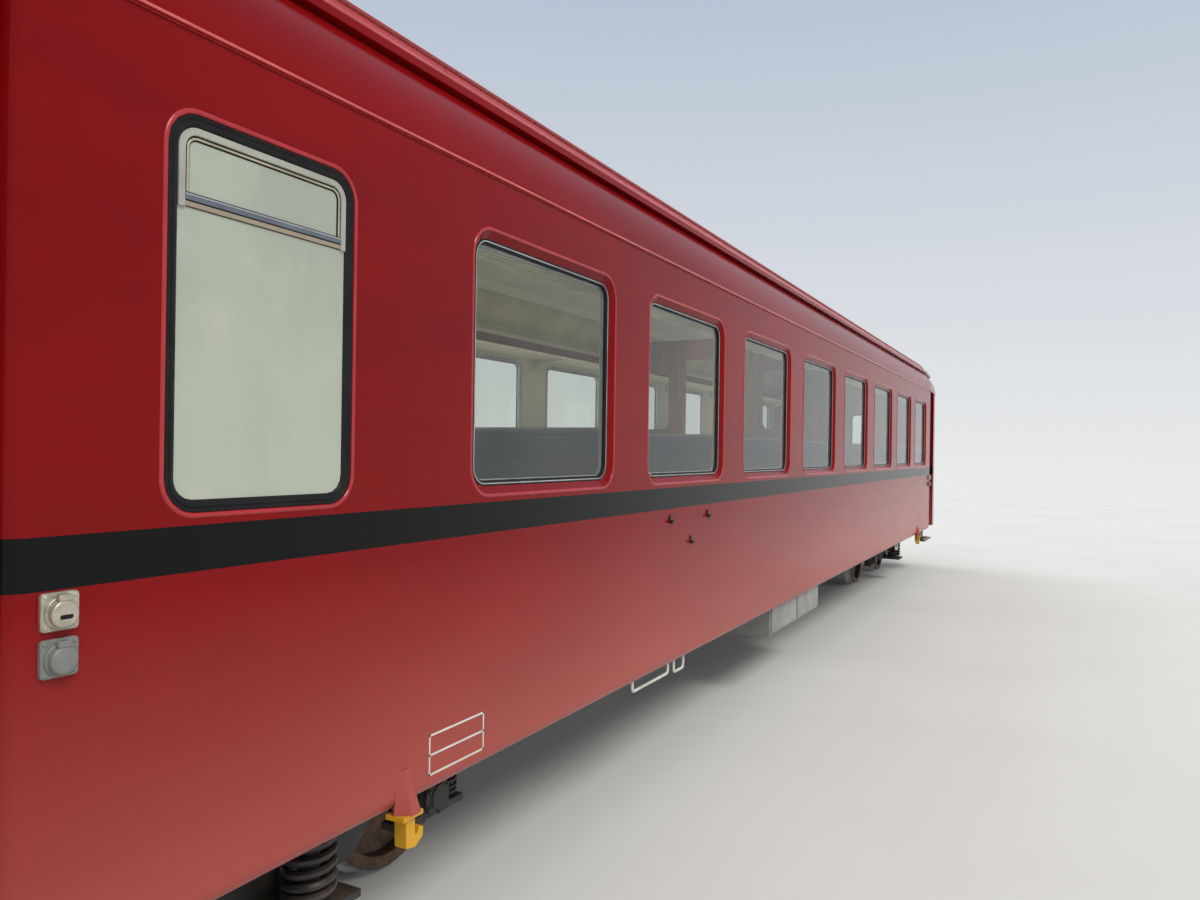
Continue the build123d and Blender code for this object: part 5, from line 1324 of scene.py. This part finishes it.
def make_world():
    """Even light for the object, and a pale backdrop where the camera, gloss and glass see it."""
    world = bpy.data.worlds.new("studio")
    SCENE.world = world
    world.use_nodes = True
    graph = Graph(world.node_tree)
    graph.tree.nodes.clear()
    soft = graph.node("Background", {0: (0.92, 0.96, 1, 1), 1: 0.72})
    height = graph.node("SeparateXYZ", {0: graph.node("TexCoord").outputs["Generated"]}).outputs["Z"]
    ramp = graph.node("ValToRGB", {0: height})
    horizon, sky = ramp.color_ramp.elements
    horizon.position, horizon.color = 0, (0.8, 0.81, 0.82, 1)
    sky.position, sky.color = 0.5, (0.44, 0.52, 0.64, 1)
    backdrop = graph.node("Background", {0: ramp.outputs[0]})
    rays = graph.node("LightPath").outputs
    seen = graph.maths("MAXIMUM", rays["Is Camera Ray"], rays["Is Glossy Ray"])
    seen = graph.maths("MAXIMUM", seen, rays["Is Transmission Ray"])
    graph.node("OutputWorld", {0: graph.mixed(seen, soft.outputs[0], backdrop.outputs[0])})


def make_light(name, kind, strength, colour, **settings):
    data = bpy.data.lights.new(name, kind)
    data.energy, data.color = strength, colour
    for key, value in settings.items():
        setattr(data, key, value)
    return add(name, data)


def make_sun(name, strength, angle, direction, colour):
    sun = make_light(name, "SUN", strength, colour, angle=radians(angle))
    sun.rotation_mode = "QUATERNION"
    sun.rotation_quaternion = Vector(direction).to_track_quat("-Z", "Y")


SALOON_LIGHTS, SALOON_START, SALOON_PITCH = 6, -4.6, 2.1


def make_saloon_lights():
    """Soft light inside the coach, up to the ceiling and down to the seats."""
    for number in range(SALOON_LIGHTS):
        for z, turn, strength in ((2.05, pi, 6), (3.22, 0, 4)):
            light = make_light(f"saloon_{number}_{turn > 0}", "AREA", strength, (1, 0.98, 0.95),
                               shape="RECTANGLE", size=1.8, size_y=0.45)
            light.location = (SALOON_START + SALOON_PITCH * number, 0, z)
            light.rotation_euler = (turn, 0, 0)
            light.visible_camera = light.visible_glossy = False


CAMERA_AT = (-8.605, -3.36, 1.978)
CAMERA_TURN, CAMERA_ROLL, CAMERA_LENS = 27.3, 0.83, 27


def make_camera():
    """Eye level beside the near end, looking along the side, with the photograph's slight roll."""
    data = bpy.data.cameras.new("camera")
    data.sensor_fit, data.sensor_width, data.lens = "HORIZONTAL", 36, CAMERA_LENS
    data.clip_start, data.clip_end = 0.05, 900
    turn, roll = radians(CAMERA_TURN), radians(CAMERA_ROLL)
    ahead = Vector((cos(turn), sin(turn), 0))
    level = Vector((sin(turn), -cos(turn), 0))
    up = Vector((0, 0, 1))
    right = level * cos(roll) + up * sin(roll)
    head = up * cos(roll) - level * sin(roll)
    matrix = Matrix((right, head, -ahead)).transposed().to_4x4()
    matrix.translation = CAMERA_AT
    SCENE.camera = add("camera", data)
    SCENE.camera.matrix_world = matrix


make_floor()
make_world()
make_sun("key", 1.75, 22, (0.25, 0.72, -0.8), (1, 0.97, 0.92))
make_sun("fill", 0.55, 40, (-0.45, -0.75, -0.7), (0.92, 0.96, 1))
make_saloon_lights()
make_camera()
SCENE.view_settings.view_transform = "Standard"
